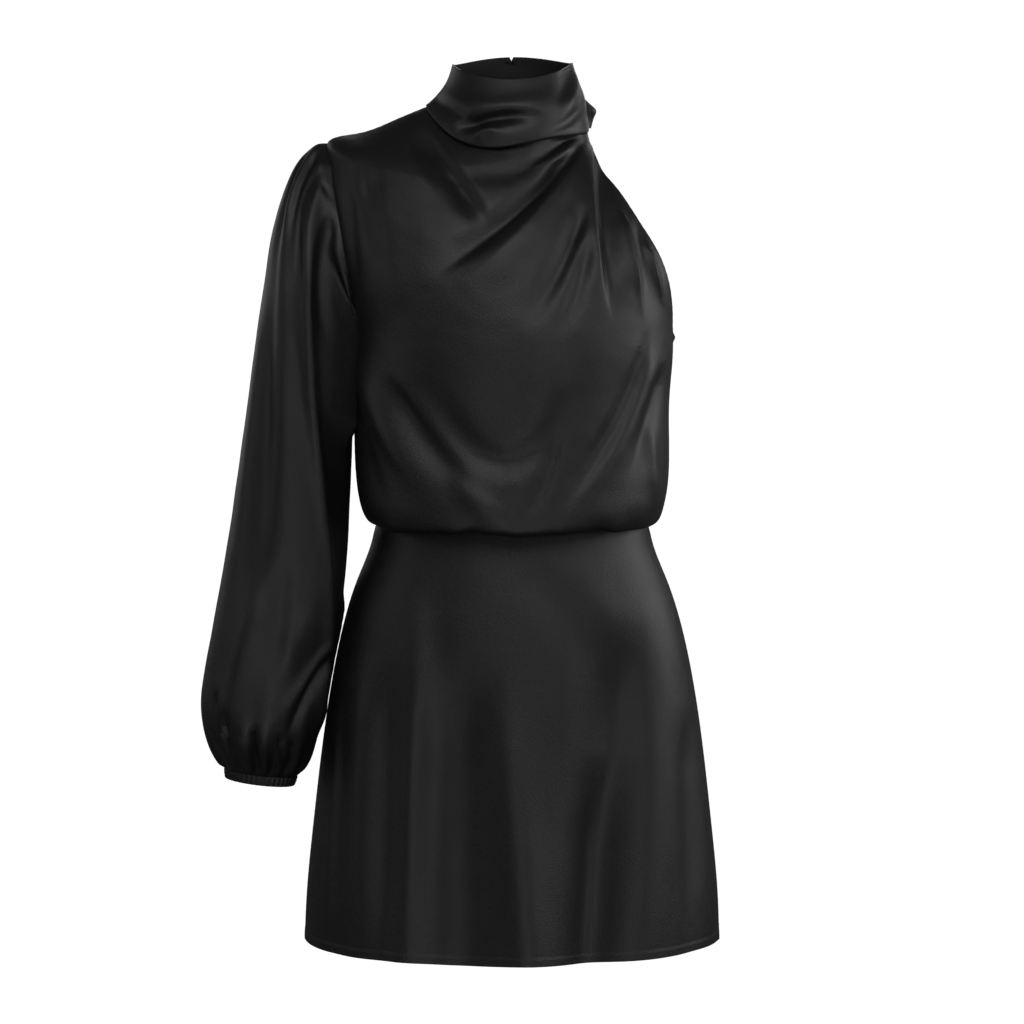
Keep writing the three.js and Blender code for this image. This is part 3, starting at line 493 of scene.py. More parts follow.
def tubes_object(name, runs, radius, look, sides=6):
    """Closed round threads along runs of points."""
    points, faces = [], []
    turns = np.linspace(0, 2 * math.pi, sides, endpoint=False)
    for run in runs:
        run = np.asarray(run, float)
        way = np.gradient(run, axis=0)
        way /= np.linalg.norm(way, axis=1, keepdims=True)
        aside = np.cross(way, np.array([0.3, 0.2, 1.0]))
        aside /= np.linalg.norm(aside, axis=1, keepdims=True)
        other = np.cross(way, aside)
        start = len(points)
        share = np.linspace(-1, 1, len(run))
        girth = radius * np.sqrt(np.clip(1 - 0.75 * share**6, 0.05, 1))
        for centre, a, b, wide in zip(run, aside, other, girth):
            for turn in turns:
                points.append(centre + wide * (math.cos(turn) * a + math.sin(turn) * b))
        for i in range(len(run) - 1):
            for j in range(sides):
                here, there = start + i * sides, start + (i + 1) * sides
                k = (j + 1) % sides
                faces.append((here + j, here + k, there + k, there + j))
        first, last = len(points), len(points) + 1
        points += [run[0], run[-1]]
        for j in range(sides):
            k = (j + 1) % sides
            end = start + (len(run) - 1) * sides
            faces += [(first, start + k, start + j), (last, end + j, end + k)]
    return mesh_object(name, points, faces, [look], sharp_from=180)


# Materials

# Noise cells in a metre of cloth across and along a thread, and how far threads change the gloss
THREADS_ACROSS = 1000
THREADS_ALONG = 330
THREAD_GLOSS = 0.18


def new_look(name):
    """A material with its nodes and links, which are None where it was made before."""
    look = bpy.data.materials.get(name)
    if look is not None:
        return look, None, None
    look = bpy.data.materials.new(name)
    look.use_nodes = True
    return look, look.node_tree.nodes, look.node_tree.links


def noise(nodes, links, vector, scale, detail=2.0, distortion=0.0):
    texture = nodes.new("ShaderNodeTexNoise")
    texture.inputs["Scale"].default_value = scale
    texture.inputs["Detail"].default_value = detail
    texture.inputs["Distortion"].default_value = distortion
    links.new(vector, texture.inputs["Vector"])
    return texture.outputs["Fac"]


def colour_spread(nodes, links, shader, factor, colour, low, high):
    """The colour over the surface, from low to high times the given one."""
    ramp = nodes.new("ShaderNodeValToRGB")
    ramp.color_ramp.elements[0].color = (*[c * low for c in colour], 1)
    ramp.color_ramp.elements[1].color = (*[c * high for c in colour], 1)
    links.new(factor, ramp.inputs["Fac"])
    links.new(ramp.outputs["Color"], shader.inputs["Base Color"])


def bump(nodes, links, height, strength, distance, under=None):
    """Fine height on the surface, over the normal of a bump made before."""
    node = nodes.new("ShaderNodeBump")
    node.inputs["Strength"].default_value = strength
    node.inputs["Distance"].default_value = distance
    links.new(height, node.inputs["Height"])
    if under is not None:
        links.new(under, node.inputs["Normal"])
    return node.outputs["Normal"]


def threads(nodes, links, place, scale):
    """Threads of one direction, as noise stretched along them."""
    stretch = nodes.new("ShaderNodeMapping")
    stretch.inputs["Scale"].default_value = scale
    links.new(place, stretch.inputs["Vector"])
    return noise(nodes, links, stretch.outputs["Vector"], 1)


def woven(nodes, links, place):
    """Warp and weft together, from 0 to 2."""
    weave = nodes.new("ShaderNodeMath")
    weave.operation = "ADD"
    links.new(threads(nodes, links, place, (THREADS_ACROSS, THREADS_ALONG, 1)), weave.inputs[0])
    links.new(threads(nodes, links, place, (THREADS_ALONG, THREADS_ACROSS, 1)), weave.inputs[1])
    return weave.outputs["Value"]


def satin(name="black_satin", duller=0.0, lighter=1.0):
    """Charmeuse: a close warp-faced weave, glossy outside and duller on its reverse."""
    look, nodes, links = new_look(name)
    if nodes is None:
        return look
    cloth = bpy.context.scene.dress_cloth
    shader = nodes["Principled BSDF"]
    shader.inputs["Specular IOR Level"].default_value = 0.66
    shader.inputs["Anisotropic"].default_value = 0.25
    uv = nodes.new("ShaderNodeUVMap")
    uv.uv_map = "cloth"
    place = uv.outputs["UV"]
    cloud = noise(nodes, links, place, 26, 5)
    colour_spread(nodes, links, shader, cloud, [c * lighter for c in cloth.colour], 0.8, 1.25)
    weave = woven(nodes, links, place)
    gloss = nodes.new("ShaderNodeMapRange")
    gloss.inputs["From Max"].default_value = 2
    gloss.inputs["To Min"].default_value = cloth.roughness + duller - THREAD_GLOSS
    gloss.inputs["To Max"].default_value = cloth.roughness + duller + THREAD_GLOSS
    links.new(weave, gloss.inputs["Value"])
    links.new(gloss.outputs["Result"], shader.inputs["Roughness"])
    thread_normal = bump(nodes, links, weave, 0.4, 0.0004)
    crumple = noise(nodes, links, place, 70, 3, 0.6)
    links.new(bump(nodes, links, crumple, 0.15, 0.001, thread_normal), shader.inputs["Normal"])
    return look


def satin_reverse():
    return satin("satin_reverse", duller=0.1, lighter=2.6)


def plain_look(name, colour, roughness, metallic=0.0, grain=900):
    """Thread, elastic or lacquered wire with a fine grain in its colour and height."""
    look, nodes, links = new_look(name)
    if nodes is None:
        return look
    shader = nodes["Principled BSDF"]
    shader.inputs["Roughness"].default_value = roughness
    shader.inputs["Metallic"].default_value = metallic
    place = nodes.new("ShaderNodeTexCoord").outputs["Object"]
    cloud = noise(nodes, links, place, grain)
    colour_spread(nodes, links, shader, cloud, colour, 0.7, 1.3)
    links.new(bump(nodes, links, cloud, 0.2, 0.0002), shader.inputs["Normal"])
    return look


def satin_cloth(name, grid, cloth, around=False, **seams):
    return cloth_object(name, grid, cloth.thickness / MM, [satin(), satin_reverse()], around, seams)


# Stitching

stitch_lines = []


def keep_stitch_line(grid, line):
    """Keep a line of a cloth's grid, just proud of the cloth, for its row of stitches."""
    stitch_lines.append((grid + 0.1 * grid_normals(grid, False))[line])


def stitch_runs(line, stitch=2.4, gap=1.1):
    """Short threads along a line of points."""
    way = np.concatenate([[0], np.cumsum(np.linalg.norm(np.diff(line, axis=0), axis=1))])
    runs = []
    start = gap
    while start + stitch < way[-1]:
        at = np.linspace(start, start + stitch, 5)
        runs.append(np.stack([np.interp(at, way, line[:, i]) for i in range(3)], axis=-1))
        start += stitch + gap
    return runs


# Bodice


def inset(shape, side, at):
    """How far an edge lies in from the side of the section, as an angle."""
    curve = getattr(shape, side)
    value = np.where(at >= shape.keys[-1], curve(shape.keys[-1]), np.maximum(0, curve(at)))
    return np.radians(np.where(at <= shape.keys[0], 0, value))


def seam_turn(depth):
    """Angle of half the gap at a side seam."""
    return np.arcsin(SEAM_GAP / 2 / depth)


def closer(count, bias=0.0):
    """Shares across a cloth, packed closer towards its last edge."""
    u = np.linspace(0, 1, count + 1)
    return u + bias * np.sin(math.pi * u)


def spread_angles(start, end, first, last, count, bias=0.0):
    """Angles across a panel, even from start to end but bent to its real edges, first and last."""
    t = closer(count, bias)[None, :]
    start, end, first, last = (np.asarray(v, float).reshape(-1, 1) for v in (start, end, first, last))
    return mix(start, end, t) + (first - start) * (1 - t) ** 3 + (last - end) * t**3


def back_angle(shape, at, x):
    """Angle of the point of a section's back that is x from the middle."""
    left, right = shape.left(at), shape.right(at)
    return 2 * math.pi - np.arccos(((right - left) / 2 - x) / ((left + right) / 2))


def bodice_rows(step=2.2):
    knots = [0, 8, 15, 23, 34, 62, ARMHOLE_FOOT_AT, SHOULDER_AT, NECK_AT]
    parts = [np.linspace(a, b, max(2, round((b - a) / step)) + 1)[:-1] for a, b in zip(knots, knots[1:])]
    return np.concatenate(parts + [[NECK_AT]])


def front_grid(rows, count):
    gap = seam_turn(BODICE.front(rows))
    arm = np.where(rows < SHOULDER_AT, inset(ARMHOLE, "front", rows), 0)
    first = np.maximum(gap, arm)
    last = math.pi - np.maximum(gap, inset(BARE_EDGE, "front", rows))
    zero = np.zeros_like(rows)
    angles = spread_angles(zero, zero + math.pi, first, last, count, FRONT_BIAS)
    return section(BODICE, angles, rows[:, None])


def off_sides(share, width):
    """0 at both sides of a panel and 1 further in."""
    return ease(0, width, share) * ease(0, width, 1 - share)


def front_hold(at, share):
    """How free the cloth is to fold: 0 at a seam, 1 away from it."""
    side = ease(0, 0.07, share) * np.where(at > BARE_FOOT_AT, 1, ease(0, 0.07, 1 - share))
    return side * ease(8, 34, at) * ease(NECK_AT, NECK_AT - 18, at)


def edge_puckers(share, at, width, seed):
    """Small ripples that a seam draws into the cloth beside it."""
    near = np.exp(-((share * width / 9) ** 2)) + np.exp(-(((1 - share) * width / 9) ** 2))
    wobble = np.sin(at / 7.5 * 2 * math.pi + 1.7 * np.sin(at / 31 + seed))
    return 0.09 * near * wobble


def foot_waves(x, at):
    """Uneven fullness where the blouse turns under to the waist."""
    waves = np.sin(x / 19 + 0.8) + 0.7 * np.sin(x / 8.3 + 2.1) + 0.45 * np.sin(x / 4.7)
    lip = 1.6 * np.exp(-(((x - 22) / 7) ** 2)) - 1.4 * np.exp(-(((x - 38) / 7) ** 2))
    return (1.3 * waves + lip) * np.exp(-(((at - 20) / 13) ** 2)) * ease(2, 10, at)


def underarm_tip(share, at):
    """The corner of cloth that stands out where the bare edge meets the side seam."""
    return 2.2 * np.exp(-(((at - 202) / 3.5) ** 2)) * np.exp(-(((1 - share) * FRONT_WIDTH / 4) ** 2))


def bare_edge_rows(rows):
    return (rows > BARE_FOOT_AT + 6) & (rows < NECK_AT - 10)


def make_front_bodice(cloth):
    rows = bodice_rows()
    grid = front_grid(rows, FRONT_COLUMNS)
    at, share = rows[:, None], closer(FRONT_COLUMNS, FRONT_BIAS)[None, :]
    hold = front_hold(at, share)
    height = hold * fold_height(FRONT_FOLDS, grid[..., 0], grid[..., 2])
    height += hold * worn_waves(cloth, grid, 3)
    height += edge_puckers(share, at, FRONT_WIDTH, 1) * ease(20, 60, at)
    height += foot_waves(grid[..., 0], at)
    height += underarm_tip(share, at)
    grid = pushed(grid, height)
    keep_stitch_line(grid, np.s_[bare_edge_rows(rows), -3])
    return satin_cloth("front_bodice_cloth", grid, cloth, bottom=2, top=2)


def slit_half(at):
    """Half the opening of the back's slit, which closes to a seam below its foot."""
    return mix(SEAM_GAP / 2, SLIT_HALF, ease(SLIT_FOOT_AT - 20, SLIT_FOOT_AT + 60, at))


def back_hold(at, share):
    return off_sides(share, 0.16) * ease(20, 60, at) * ease(NECK_AT, NECK_AT - 30, at)


def make_back_bodice(cloth, side):
    rows = bodice_rows()
    count = BACK_COLUMNS
    gap = seam_turn(BODICE.back(rows))
    if side == "right":
        first = math.pi + np.maximum(gap, inset(BARE_EDGE, "back", rows))
        last = back_angle(BODICE, rows, CENTRE_BACK + slit_half(rows))
        angles = spread_angles(np.full_like(rows, math.pi), last, first, last, count)
    else:
        first = back_angle(BODICE, rows, CENTRE_BACK - slit_half(rows))
        arm = np.where(rows < SHOULDER_AT, inset(ARMHOLE, "back", rows), 0)
        last = 2 * math.pi - np.maximum(gap, arm)
        angles = spread_angles(first, np.full_like(rows, 2 * math.pi), first, last, count)
    grid = section(BODICE, angles, rows[:, None])
    at, share = rows[:, None], np.linspace(0, 1, count + 1)[None, :]
    hold = back_hold(at, share)
    height = hold * fold_height(BACK_FOLDS, grid[..., 0], grid[..., 2])
    height += hold * worn_waves(cloth, grid, 5 if side == "left" else 8)
    height += edge_puckers(share, at, BACK_WIDTH, 2) * ease(20, 60, at)
    grid = pushed(grid, height)
    slit = (rows > SLIT_FOOT_AT) & (rows < NECK_AT - 4)
    if side == "right":
        keep_stitch_line(grid, np.s_[bare_edge_rows(rows), 2])
    keep_stitch_line(grid, np.s_[slit, -3 if side == "right" else 2])
    middle = {"last" if side == "right" else "first": 0}
    return satin_cloth(f"back_bodice_{side}_cloth", grid, cloth, bottom=2, top=2, **middle)


# Skirt


def skirt_rows():
    """Rows up the skirt, closer over its hem."""
    return np.concatenate([np.linspace(0, 12, 9)[:-1], np.linspace(12, SKIRT_TOP, 150)])


def side_step(start, at, share):
    """The hems of the front and the back end a little apart at the bare side's seam."""
    step, off = (-3.4, 1 - share) if start == 0.0 else (2.5, share)
    return step * np.exp(-((off * SKIRT_WIDTH / 22) ** 2)) * ease(60, 4, at)


def hem_height(at, hem):
    """The turned hem stands a little proud, with a groove along its stitches."""
    return 0.35 * ease(hem + 0.9, hem - 0.4, at) - 0.35 * np.exp(-(((at - hem) / 0.8) ** 2))


def make_skirt(cloth, name, start, folds, seed):
    rows = skirt_rows()
    gap = seam_turn(SKIRT.front(rows))
    share = np.linspace(0, 1, SKIRT_COLUMNS + 1)[None, :]
    angles = mix(start + gap[:, None], start + math.pi - gap[:, None], share)
    at = rows[:, None]
    grid = section(SKIRT, angles, at)
    hold = off_sides(share, 0.1) * ease(400, 330, at)
    height = hold * fold_height(folds, grid[..., 0], grid[..., 2])
    height += hold * worn_waves(cloth, grid, seed, 0.45)
    height += edge_puckers(share, at, SKIRT_WIDTH, seed) * 0.8
    grid[..., 2] += side_step(start, at, share)
    hem = cloth.hem / MM
    grid = pushed(grid, height + hem_height(at, hem))
    keep_stitch_line(grid, np.s_[np.argmin(np.abs(rows - hem)), :])
    return satin_cloth(name, grid, cloth, bottom=2, top=2)


# Sleeve and cuff


def sleeve_ring(down, degrees):
    """Points round the plain sleeve: 0 degrees is its outer side, 90 the front and 180 the inner side."""
    turn = np.radians(degrees)
    along = (1 + np.cos(turn)) / 2
    depth = np.where(np.sin(turn) > 0, SLEEVE.front(down), SLEEVE.back(down))
    y = SLEEVE.shift(down) - depth * np.sin(turn)
    x = mix(SLEEVE.inX(down), SLEEVE.outX(down), along)
    z = mix(SLEEVE.inZ(down), SLEEVE.outZ(down), along)
    return np.stack(np.broadcast_arrays(x, y, z), axis=-1)


def armhole_points(degrees):
    turn = np.radians(degrees)
    at = mix(ARMHOLE_FOOT_AT, SHOULDER_AT, (1 + np.cos(turn)) / 2)
    front = np.sin(turn) > 0
    angle = np.where(front, inset(ARMHOLE, "front", at), 2 * math.pi - inset(ARMHOLE, "back", at))
    points = section(BODICE, angle, at)
    points[..., 0] -= 2 * SEAM_GAP
    return points


def towards_body(down, degrees):
    """How far the inner front of the sleeve lies towards the bodice and the skirt."""
    upper = 12.5 * np.exp(-(((degrees - 150) / 15) ** 2)) * ease(3, 30, down) * ease(245, 200, down)
    lower = 7.5 * np.exp(-(((degrees - 168) / 13) ** 2)) * ease(425, 460, down) * ease(590, 560, down)
    return upper + lower


def full_ring(down, degrees):
    """The sleeve's ring with its inner front."""
    ring = sleeve_ring(down, degrees)
    ring[..., 0] += towards_body(down, degrees)
    return ring


def sleeve_base(down, degrees):
    """The sleeve without folds: flat from its edge to its corner, and joined to the armhole."""
    ring = full_ring(down, degrees)
    edge, corner = SLEEVE_EDGE.edge(down), SLEEVE_EDGE.corner(down)
    share = np.clip((degrees - edge) / (corner - edge), 0, 1)
    straight = mix(full_ring(down, edge), full_ring(down, corner), share[..., None])
    flat = ((degrees > edge) & (degrees < corner)) * ease(5, 40, down) * ease(600, 540, down)
    ring = mix(ring, straight, flat[..., None])
    change = armhole_points(degrees) - sleeve_ring(0, degrees)
    return ring + ease(70, 0, down)[..., None] * change


def gather_height(down, degrees):
    """Small even gathers that grow towards the cuff."""
    up = SLEEVE_END - down
    size = 2.6 * ease(0, 9, up) * np.exp(-((up / 42) ** 2))
    wander = degrees + 5 * np.sin(np.radians(3 * degrees + 40))
    return size * np.cos(np.radians(wander * WRIST_GATHERS))


def sleeve_height(down, degrees):
    """Folds, gathers, the puffed cap and the rounded edge of the sleeve."""
    scaled = [(a * DEGREE_OF_SLEEVE, b, c * DEGREE_OF_SLEEVE, d, e * DEGREE_OF_SLEEVE, f, *rest)
              for a, b, c, d, e, f, *rest in SLEEVE_FOLDS]
    turns = [(degrees + whole) * DEGREE_OF_SLEEVE for whole in (-360, 0, 360)]
    folds = sum(fold_height(scaled, turn, down) for turn in turns)
    hold = ease(0, 14, down) * ease(SLEEVE_END, SLEEVE_END - 20, down)
    edge = 4.5 * np.exp(-(((degrees - SLEEVE_EDGE.edge(down)) / 8) ** 2))
    edge = edge * ease(20, 90, down) * ease(610, 520, down)
    cap = 1.8 * np.exp(-(((down - 9) / 7) ** 2)) * ease(-0.2, 0.7, np.cos(np.radians(degrees)))
    return folds * hold + gather_height(down, degrees) + cap * ease(0, 3, down) + edge


def edge_along_column(turn, down):
    """Even turns spread so that one column of the grid follows the sleeve's edge."""
    edge = SLEEVE_EDGE.edge(down)
    after = edge + (turn - EDGE_COLUMN) * (360 - edge) / (360 - EDGE_COLUMN)
    return np.where(turn < EDGE_COLUMN, turn * edge / EDGE_COLUMN, after)


def make_sleeve(cloth):
    rows = np.concatenate([np.linspace(SLEEVE_END, BALLOON_AT, 48)[:-1], np.linspace(BALLOON_AT, 0, 200)])
    turns = np.linspace(0, 360, SLEEVE_COLUMNS, endpoint=False)
    down, turn = np.meshgrid(rows, turns, indexing="ij")
    degrees = edge_along_column(turn, down)
    grid = sleeve_base(down, degrees)
    height = sleeve_height(down, degrees)
    waves = ripple(np.sin(np.radians(degrees)) * 70, down * 0.6 + np.cos(np.radians(degrees)) * 40, 11)
    height = height + cloth.unevenness / MM * waves * ease(0, 30, down) * ease(SLEEVE_END, 590, down)
    grid = pushed(grid, height, around=True)
    return satin_cloth("sleeve_cloth", grid, cloth, around=True, bottom=2, top=0)


def cuff_ring(deep, out, degrees):
    """Points of the cuff, deep below the sleeve's end and out from its ring."""
    turn = np.radians(degrees)
    rim = sleeve_ring(SLEEVE_END, degrees)
    outer = sleeve_ring(SLEEVE_END, np.array(0.0))
    inner = sleeve_ring(SLEEVE_END, np.array(180.0))
    centre = (outer + inner) / 2
    across = (outer - inner) / np.linalg.norm(outer - inner)
    down = np.array([across[2], 0, -across[0]]) * np.sign(across[0])
    ring = (rim - centre) * (1 - 0.055 * deep / CUFF_HEIGHT)[..., None]
    way = across * np.cos(turn)[..., None] + np.array([0, -1, 0]) * np.sin(turn)[..., None]
    return centre + down * (deep + 0.05)[..., None] + ring + way * out[..., None]


def make_cuff():
    turns = np.linspace(0, 360, CUFF_RIBS * 8, endpoint=False)
    deeps = np.append(np.linspace(CUFF_HEIGHT, 0, 13), -1.5)
    deep, degrees = np.meshgrid(deeps, turns, indexing="ij")
    rib = 0.5 + 0.5 * np.cos(np.radians(degrees * CUFF_RIBS))
    bulge = np.sin(math.pi * np.clip(deep / CUFF_HEIGHT, 0, 1))
    rows = np.abs(np.sin(math.pi * deep / CUFF_HEIGHT * 3))
    tucked = np.where(deep < 0, -1.8, 0)
    out = 0.75 * rib**1.5 * (0.55 + 0.45 * rows) + 0.35 * bulge + tucked
    outer = cuff_ring(deep, out, degrees)
    elastic = plain_look("ribbed_elastic", (0.012, 0.012, 0.013), 0.55, grain=1800)
    return cloth_object("cuff_cloth", outer, 1.5, [elastic, satin_reverse()], around=True)


# Collar


def collar_angles(at, count):
    """Angles round the collar from its slit to its slit, which opens in a small notch at the top."""
    half = 1.7 * ease(5, 0, at)
    first = back_angle(COLLAR, at, CENTRE_BACK - half) - 2 * math.pi
    last = back_angle(COLLAR, at, CENTRE_BACK + half)
    return mix(first, last, np.linspace(0, 1, count + 1)[None, :])


def make_collar(cloth):
    foot = np.linspace(COLLAR_FOOT, COLLAR_TURN, 14)[:-1]
    rows = np.concatenate([foot, np.linspace(COLLAR_TURN, 0, 52)])
    at, share = rows[:, None], np.linspace(0, 1, COLLAR_COLUMNS + 1)[None, :]
    grid = section(COLLAR, collar_angles(at, COLLAR_COLUMNS), at)
    x, y, z = grid[..., 0], grid[..., 1], grid[..., 2]
    hold = off_sides(share, 0.08) * ease(54, 46, at) * ease(0, 4, at)
    folds = np.where(y < 0, fold_height(COLLAR_FOLDS, x, z), fold_height(COLLAR_BACK_FOLDS, x, z))
    height = hold * np.minimum(1, np.abs(y) / 14) * folds
    height += hold * 0.5 * worn_waves(cloth, grid, 21)
    grid = pushed(grid, height)
    return satin_cloth("collar_cloth", grid, cloth, bottom=2, first=0, last=0)


def collar_at_height(angle, z):
    """The collar's point at a height, found by halving."""
    low, high = 0.0, float(COLLAR_TURN)
    for _ in range(30):
        middle = (low + high) / 2
        if section(COLLAR, np.array(angle), np.array(middle))[2] > z:
            low = middle
        else:
            high = middle
    return section(COLLAR, np.array(angle), np.array(low))


def make_collar_end(cloth):
    shares, outs = np.linspace(0, 1, 33), np.linspace(0, 1, 15)
    grid = np.zeros((33, 15, 3))
    for i, share in enumerate(shares):
        root = collar_at_height(math.radians(192), COLLAR_END.z(share))
        free, away = COLLAR_END.free(share), COLLAR_END.away(share)
        curl = away * np.sin(math.pi * outs) + 0.5 * np.sin(2 * math.pi * outs + 4 * share)
        grid[i, :, 0] = root[0] + 0.7 + free * outs
        grid[i, :, 1] = root[1] - curl + 4 * outs
        grid[i, :, 2] = root[2] - 1.5 * outs
    return satin_cloth("collar_end_cloth", grid, cloth)


# Fastening


def fastening_place():
    """Depth and height of the hook, just inside the back of the collar."""
    back = section(COLLAR, np.array(1.5 * math.pi), np.array(6.5))
    return back[1] - 1.8 - HOOK_WIRE - 0.6, back[2]


def smooth_run(points, count):
    """A smooth line of many points through a few."""
    points = np.array(points, float)
    keys = np.linspace(0, 1, len(points))
    at = np.linspace(0, 1, count)
    return np.stack([spline(keys, points[:, i])(at) for i in range(3)], axis=-1)


def make_fastening():
    y, z = fastening_place()
    metal = plain_look("lacquered_wire", (0.02, 0.02, 0.022), 0.32, metallic=0.7, grain=3000)
    hook = [(-6.5, 0), (-3.4, -0.25), (-0.4, -1.1), (1.2, -1.2), (2.2, -0.55), (2.1, 0.2)]
    eye = [(5.4, -1.8), (3, -1.8), (1, -1.2), (0.7, 0), (1, 1.2), (3, 1.8), (5.4, 1.8)]
    hook_run = smooth_run([(x, y + off, z) for x, off in hook], 40)
    eye_run = smooth_run([(x, y, z + up) for x, up in eye], 48)
    return (tubes_object("hook_wire", [hook_run], HOOK_WIRE, metal, 12),
            tubes_object("eye_wire", [eye_run], HOOK_WIRE, metal, 12))


# Stage

FLOOR_SIDES = 96
FLOOR_RADIUS = 24000
FLOOR_Z = -3400
BACKDROP_Z = 24000
DRESS_MIDDLE = (0, 0, -0.38)
LIGHT_AWAY = 2.9
LIGHT_SIDE = 1.6
# Broad lights: degrees round the dress and up, the power that each shares, and its part of it.
# 0 degrees is in front and 90 is on the bare side.
LIGHTS = {
    "front_left_high": (-14, 36, "front_power", 0.62),
    "front_right_high": (16, 34, "front_power", 0.75),
    "bare_side": (100, 15, "side_power", 1),
    "bare_side_front": (60, 10, "side_power", 0.45),
    "sleeve_side": (-80, 12, "side_power", 0.2),
    "low_front": (0, -20, "front_power", 0.55),
    "back_high": (170, 25, "back_power", 1),
    "back_sleeve_side": (-140, 15, "back_power", 0.32),
}
CAMERA_PLACE = (0, -2.5927, -0.1906)
CAMERA_DIP = 4.3
CAMERA_LENS = 95.2


def unlit_by(obj):
    """The floor and backdrop show, and neither shade the dress nor shine on it."""
    obj.visible_diffuse = False
    obj.visible_glossy = False
    obj.visible_transmission = False
    obj.visible_shadow = False


def make_floor(stage):
    look = bpy.data.materials.new("pale_paper")
    look.use_nodes = True
    shader = look.node_tree.nodes["Principled BSDF"]
    shader.inputs["Base Color"].default_value = (*stage.floor_colour, 1)
    shader.inputs["Roughness"].default_value = 0.9
    shader.inputs["Emission Color"].default_value = (*stage.floor_colour, 1)
    shader.inputs["Emission Strength"].default_value = 1.0
    turns = np.linspace(0, 2 * math.pi, FLOOR_SIDES, endpoint=False)
    x, y = FLOOR_RADIUS * np.cos(turns), FLOOR_RADIUS * np.sin(turns)
    ring, top = (np.stack([x, y, np.full_like(turns, z)], axis=-1) for z in (FLOOR_Z, BACKDROP_Z))
    floor = mesh_object("floor", ring, [tuple(range(FLOOR_SIDES))], [look])
    index = np.arange(FLOOR_SIDES)
    after = np.roll(index, -1)
    walls = np.stack([index, index + FLOOR_SIDES, after + FLOOR_SIDES, after], axis=-1).tolist()
    walls.append((index + FLOOR_SIDES).tolist())
    backdrop = mesh_object("backdrop", np.concatenate([ring, top]), walls, [look])
    for obj in (floor, backdrop):
        unlit_by(obj)


def soft_light(name, azimuth, elevation, power):
    data = bpy.data.lights.new(name, "AREA")
    data.size = LIGHT_SIDE
    data.energy = power
    light = new_object(name, data)
    a, e = math.radians(azimuth), math.radians(elevation)
    way = Vector((math.sin(a) * math.cos(e), -math.cos(a) * math.cos(e), math.sin(e)))
    light.location = Vector(DRESS_MIDDLE) + LIGHT_AWAY * way
    light.rotation_euler = (-way).to_track_quat("-Z", "Y").to_euler()
    light.visible_camera = False


def make_lights(stage):
    for name, (azimuth, elevation, power, share) in LIGHTS.items():
        soft_light(name, azimuth, elevation, getattr(stage, power) * share)
    world = bpy.data.worlds.new("studio")
    bpy.context.scene.world = world
    world.use_nodes = True
    world.node_tree.nodes["Background"].inputs["Color"].default_value = (0.05, 0.05, 0.051, 1)
    bpy.context.scene.view_settings.view_transform = "Standard"


def make_camera():
    data = bpy.data.cameras.new("camera")
    data.lens = CAMERA_LENS
    data.sensor_width = 36
    camera = new_object("camera", data)
    camera.location = CAMERA_PLACE
    camera.rotation_euler = (math.radians(90 - CAMERA_DIP), 0, 0)
    bpy.context.scene.camera = camera


# The scene's own settings


class DressCloth(bpy.types.PropertyGroup):
    """Cloth of the dress."""

    thickness: bpy.props.FloatProperty(
        name="Thickness", description="Thickness of the satin's folded edges and walls",
        default=0.0013, min=0.0005, max=0.003, unit="LENGTH")
    hem: bpy.props.FloatProperty(
        name="Hem", description="Height of the turned hem of the skirt",
        default=0.009, min=0.004, max=0.03, unit="LENGTH")
    unevenness: bpy.props.FloatProperty(
        name="Unevenness", description="Height of the slow ripples of worn satin",
        default=0.00025, min=0.0, max=0.002, unit="LENGTH")
    colour: bpy.props.FloatVectorProperty(
        name="Colour", description="Colour of the satin", subtype="COLOR", size=3,
        default=(0.0056, 0.0056, 0.006), min=0.0, max=1.0)
    roughness: bpy.props.FloatProperty(
        name="Roughness", description="How far the satin spreads its gloss",
        default=0.48, min=0.05, max=1.0, subtype="FACTOR")


class DressStage(bpy.types.PropertyGroup):
    """Floor, light and camera."""

    floor_colour: bpy.props.FloatVectorProperty(
        name="Floor", description="Colour of the plain floor and the backdrop", subtype="COLOR", size=3,
        default=(1.0, 1.0, 1.0), min=0.0, max=1.0)
    front_power: bpy.props.FloatProperty(
        name="Front light", description="Power of the broad light high in front", default=15.0, min=0.0,
        subtype="POWER", unit="POWER")
    side_power: bpy.props.FloatProperty(
        name="Side light", description="Power of the broad light on the bare side", default=20.0, min=0.0,
        subtype="POWER", unit="POWER")
    back_power: bpy.props.FloatProperty(
        name="Back light", description="Power of the broad light behind", default=19.0, min=0.0,
        subtype="POWER", unit="POWER")


def stand_for(piece, node):
    """The piece shows in place of a solid, which is hidden, and hangs from the root body."""
    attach(piece, "root")
    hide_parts(node)


class DRESS_OT_bodice(bpy.types.Operator):
    """Front and the two backs of the bodice"""

    bl_idname = "dress.bodice"
    bl_label = "Bodice"

    def execute(self, context):
        cloth = context.scene.dress_cloth
        front = make_front_bodice(cloth)
        stand_for(front, "front_bodice")
        for side in ("left", "right"):
            back = make_back_bodice(cloth, side)
            stand_for(back, f"back_bodice_{side}")
        return {"FINISHED"}


class DRESS_OT_skirt(bpy.types.Operator):
    """Front and back of the skirt"""

    bl_idname = "dress.skirt"
    bl_label = "Skirt"

    def execute(self, context):
        cloth = context.scene.dress_cloth
        parts = (("front", 0.0, SKIRT_FRONT_FOLDS, 31), ("back", math.pi, SKIRT_BACK_FOLDS, 34))
        for side, start, folds, seed in parts:
            panel = make_skirt(cloth, f"skirt_{side}_cloth", start, folds, seed)
            stand_for(panel, f"skirt_{side}")
        return {"FINISHED"}


class DRESS_OT_sleeve(bpy.types.Operator):
    """Bishop sleeve with its pleated cap and gathered wrist"""

    bl_idname = "dress.sleeve"
    bl_label = "Sleeve"

    def execute(self, context):
        sleeve = make_sleeve(context.scene.dress_cloth)
        stand_for(sleeve, "sleeve")
        return {"FINISHED"}


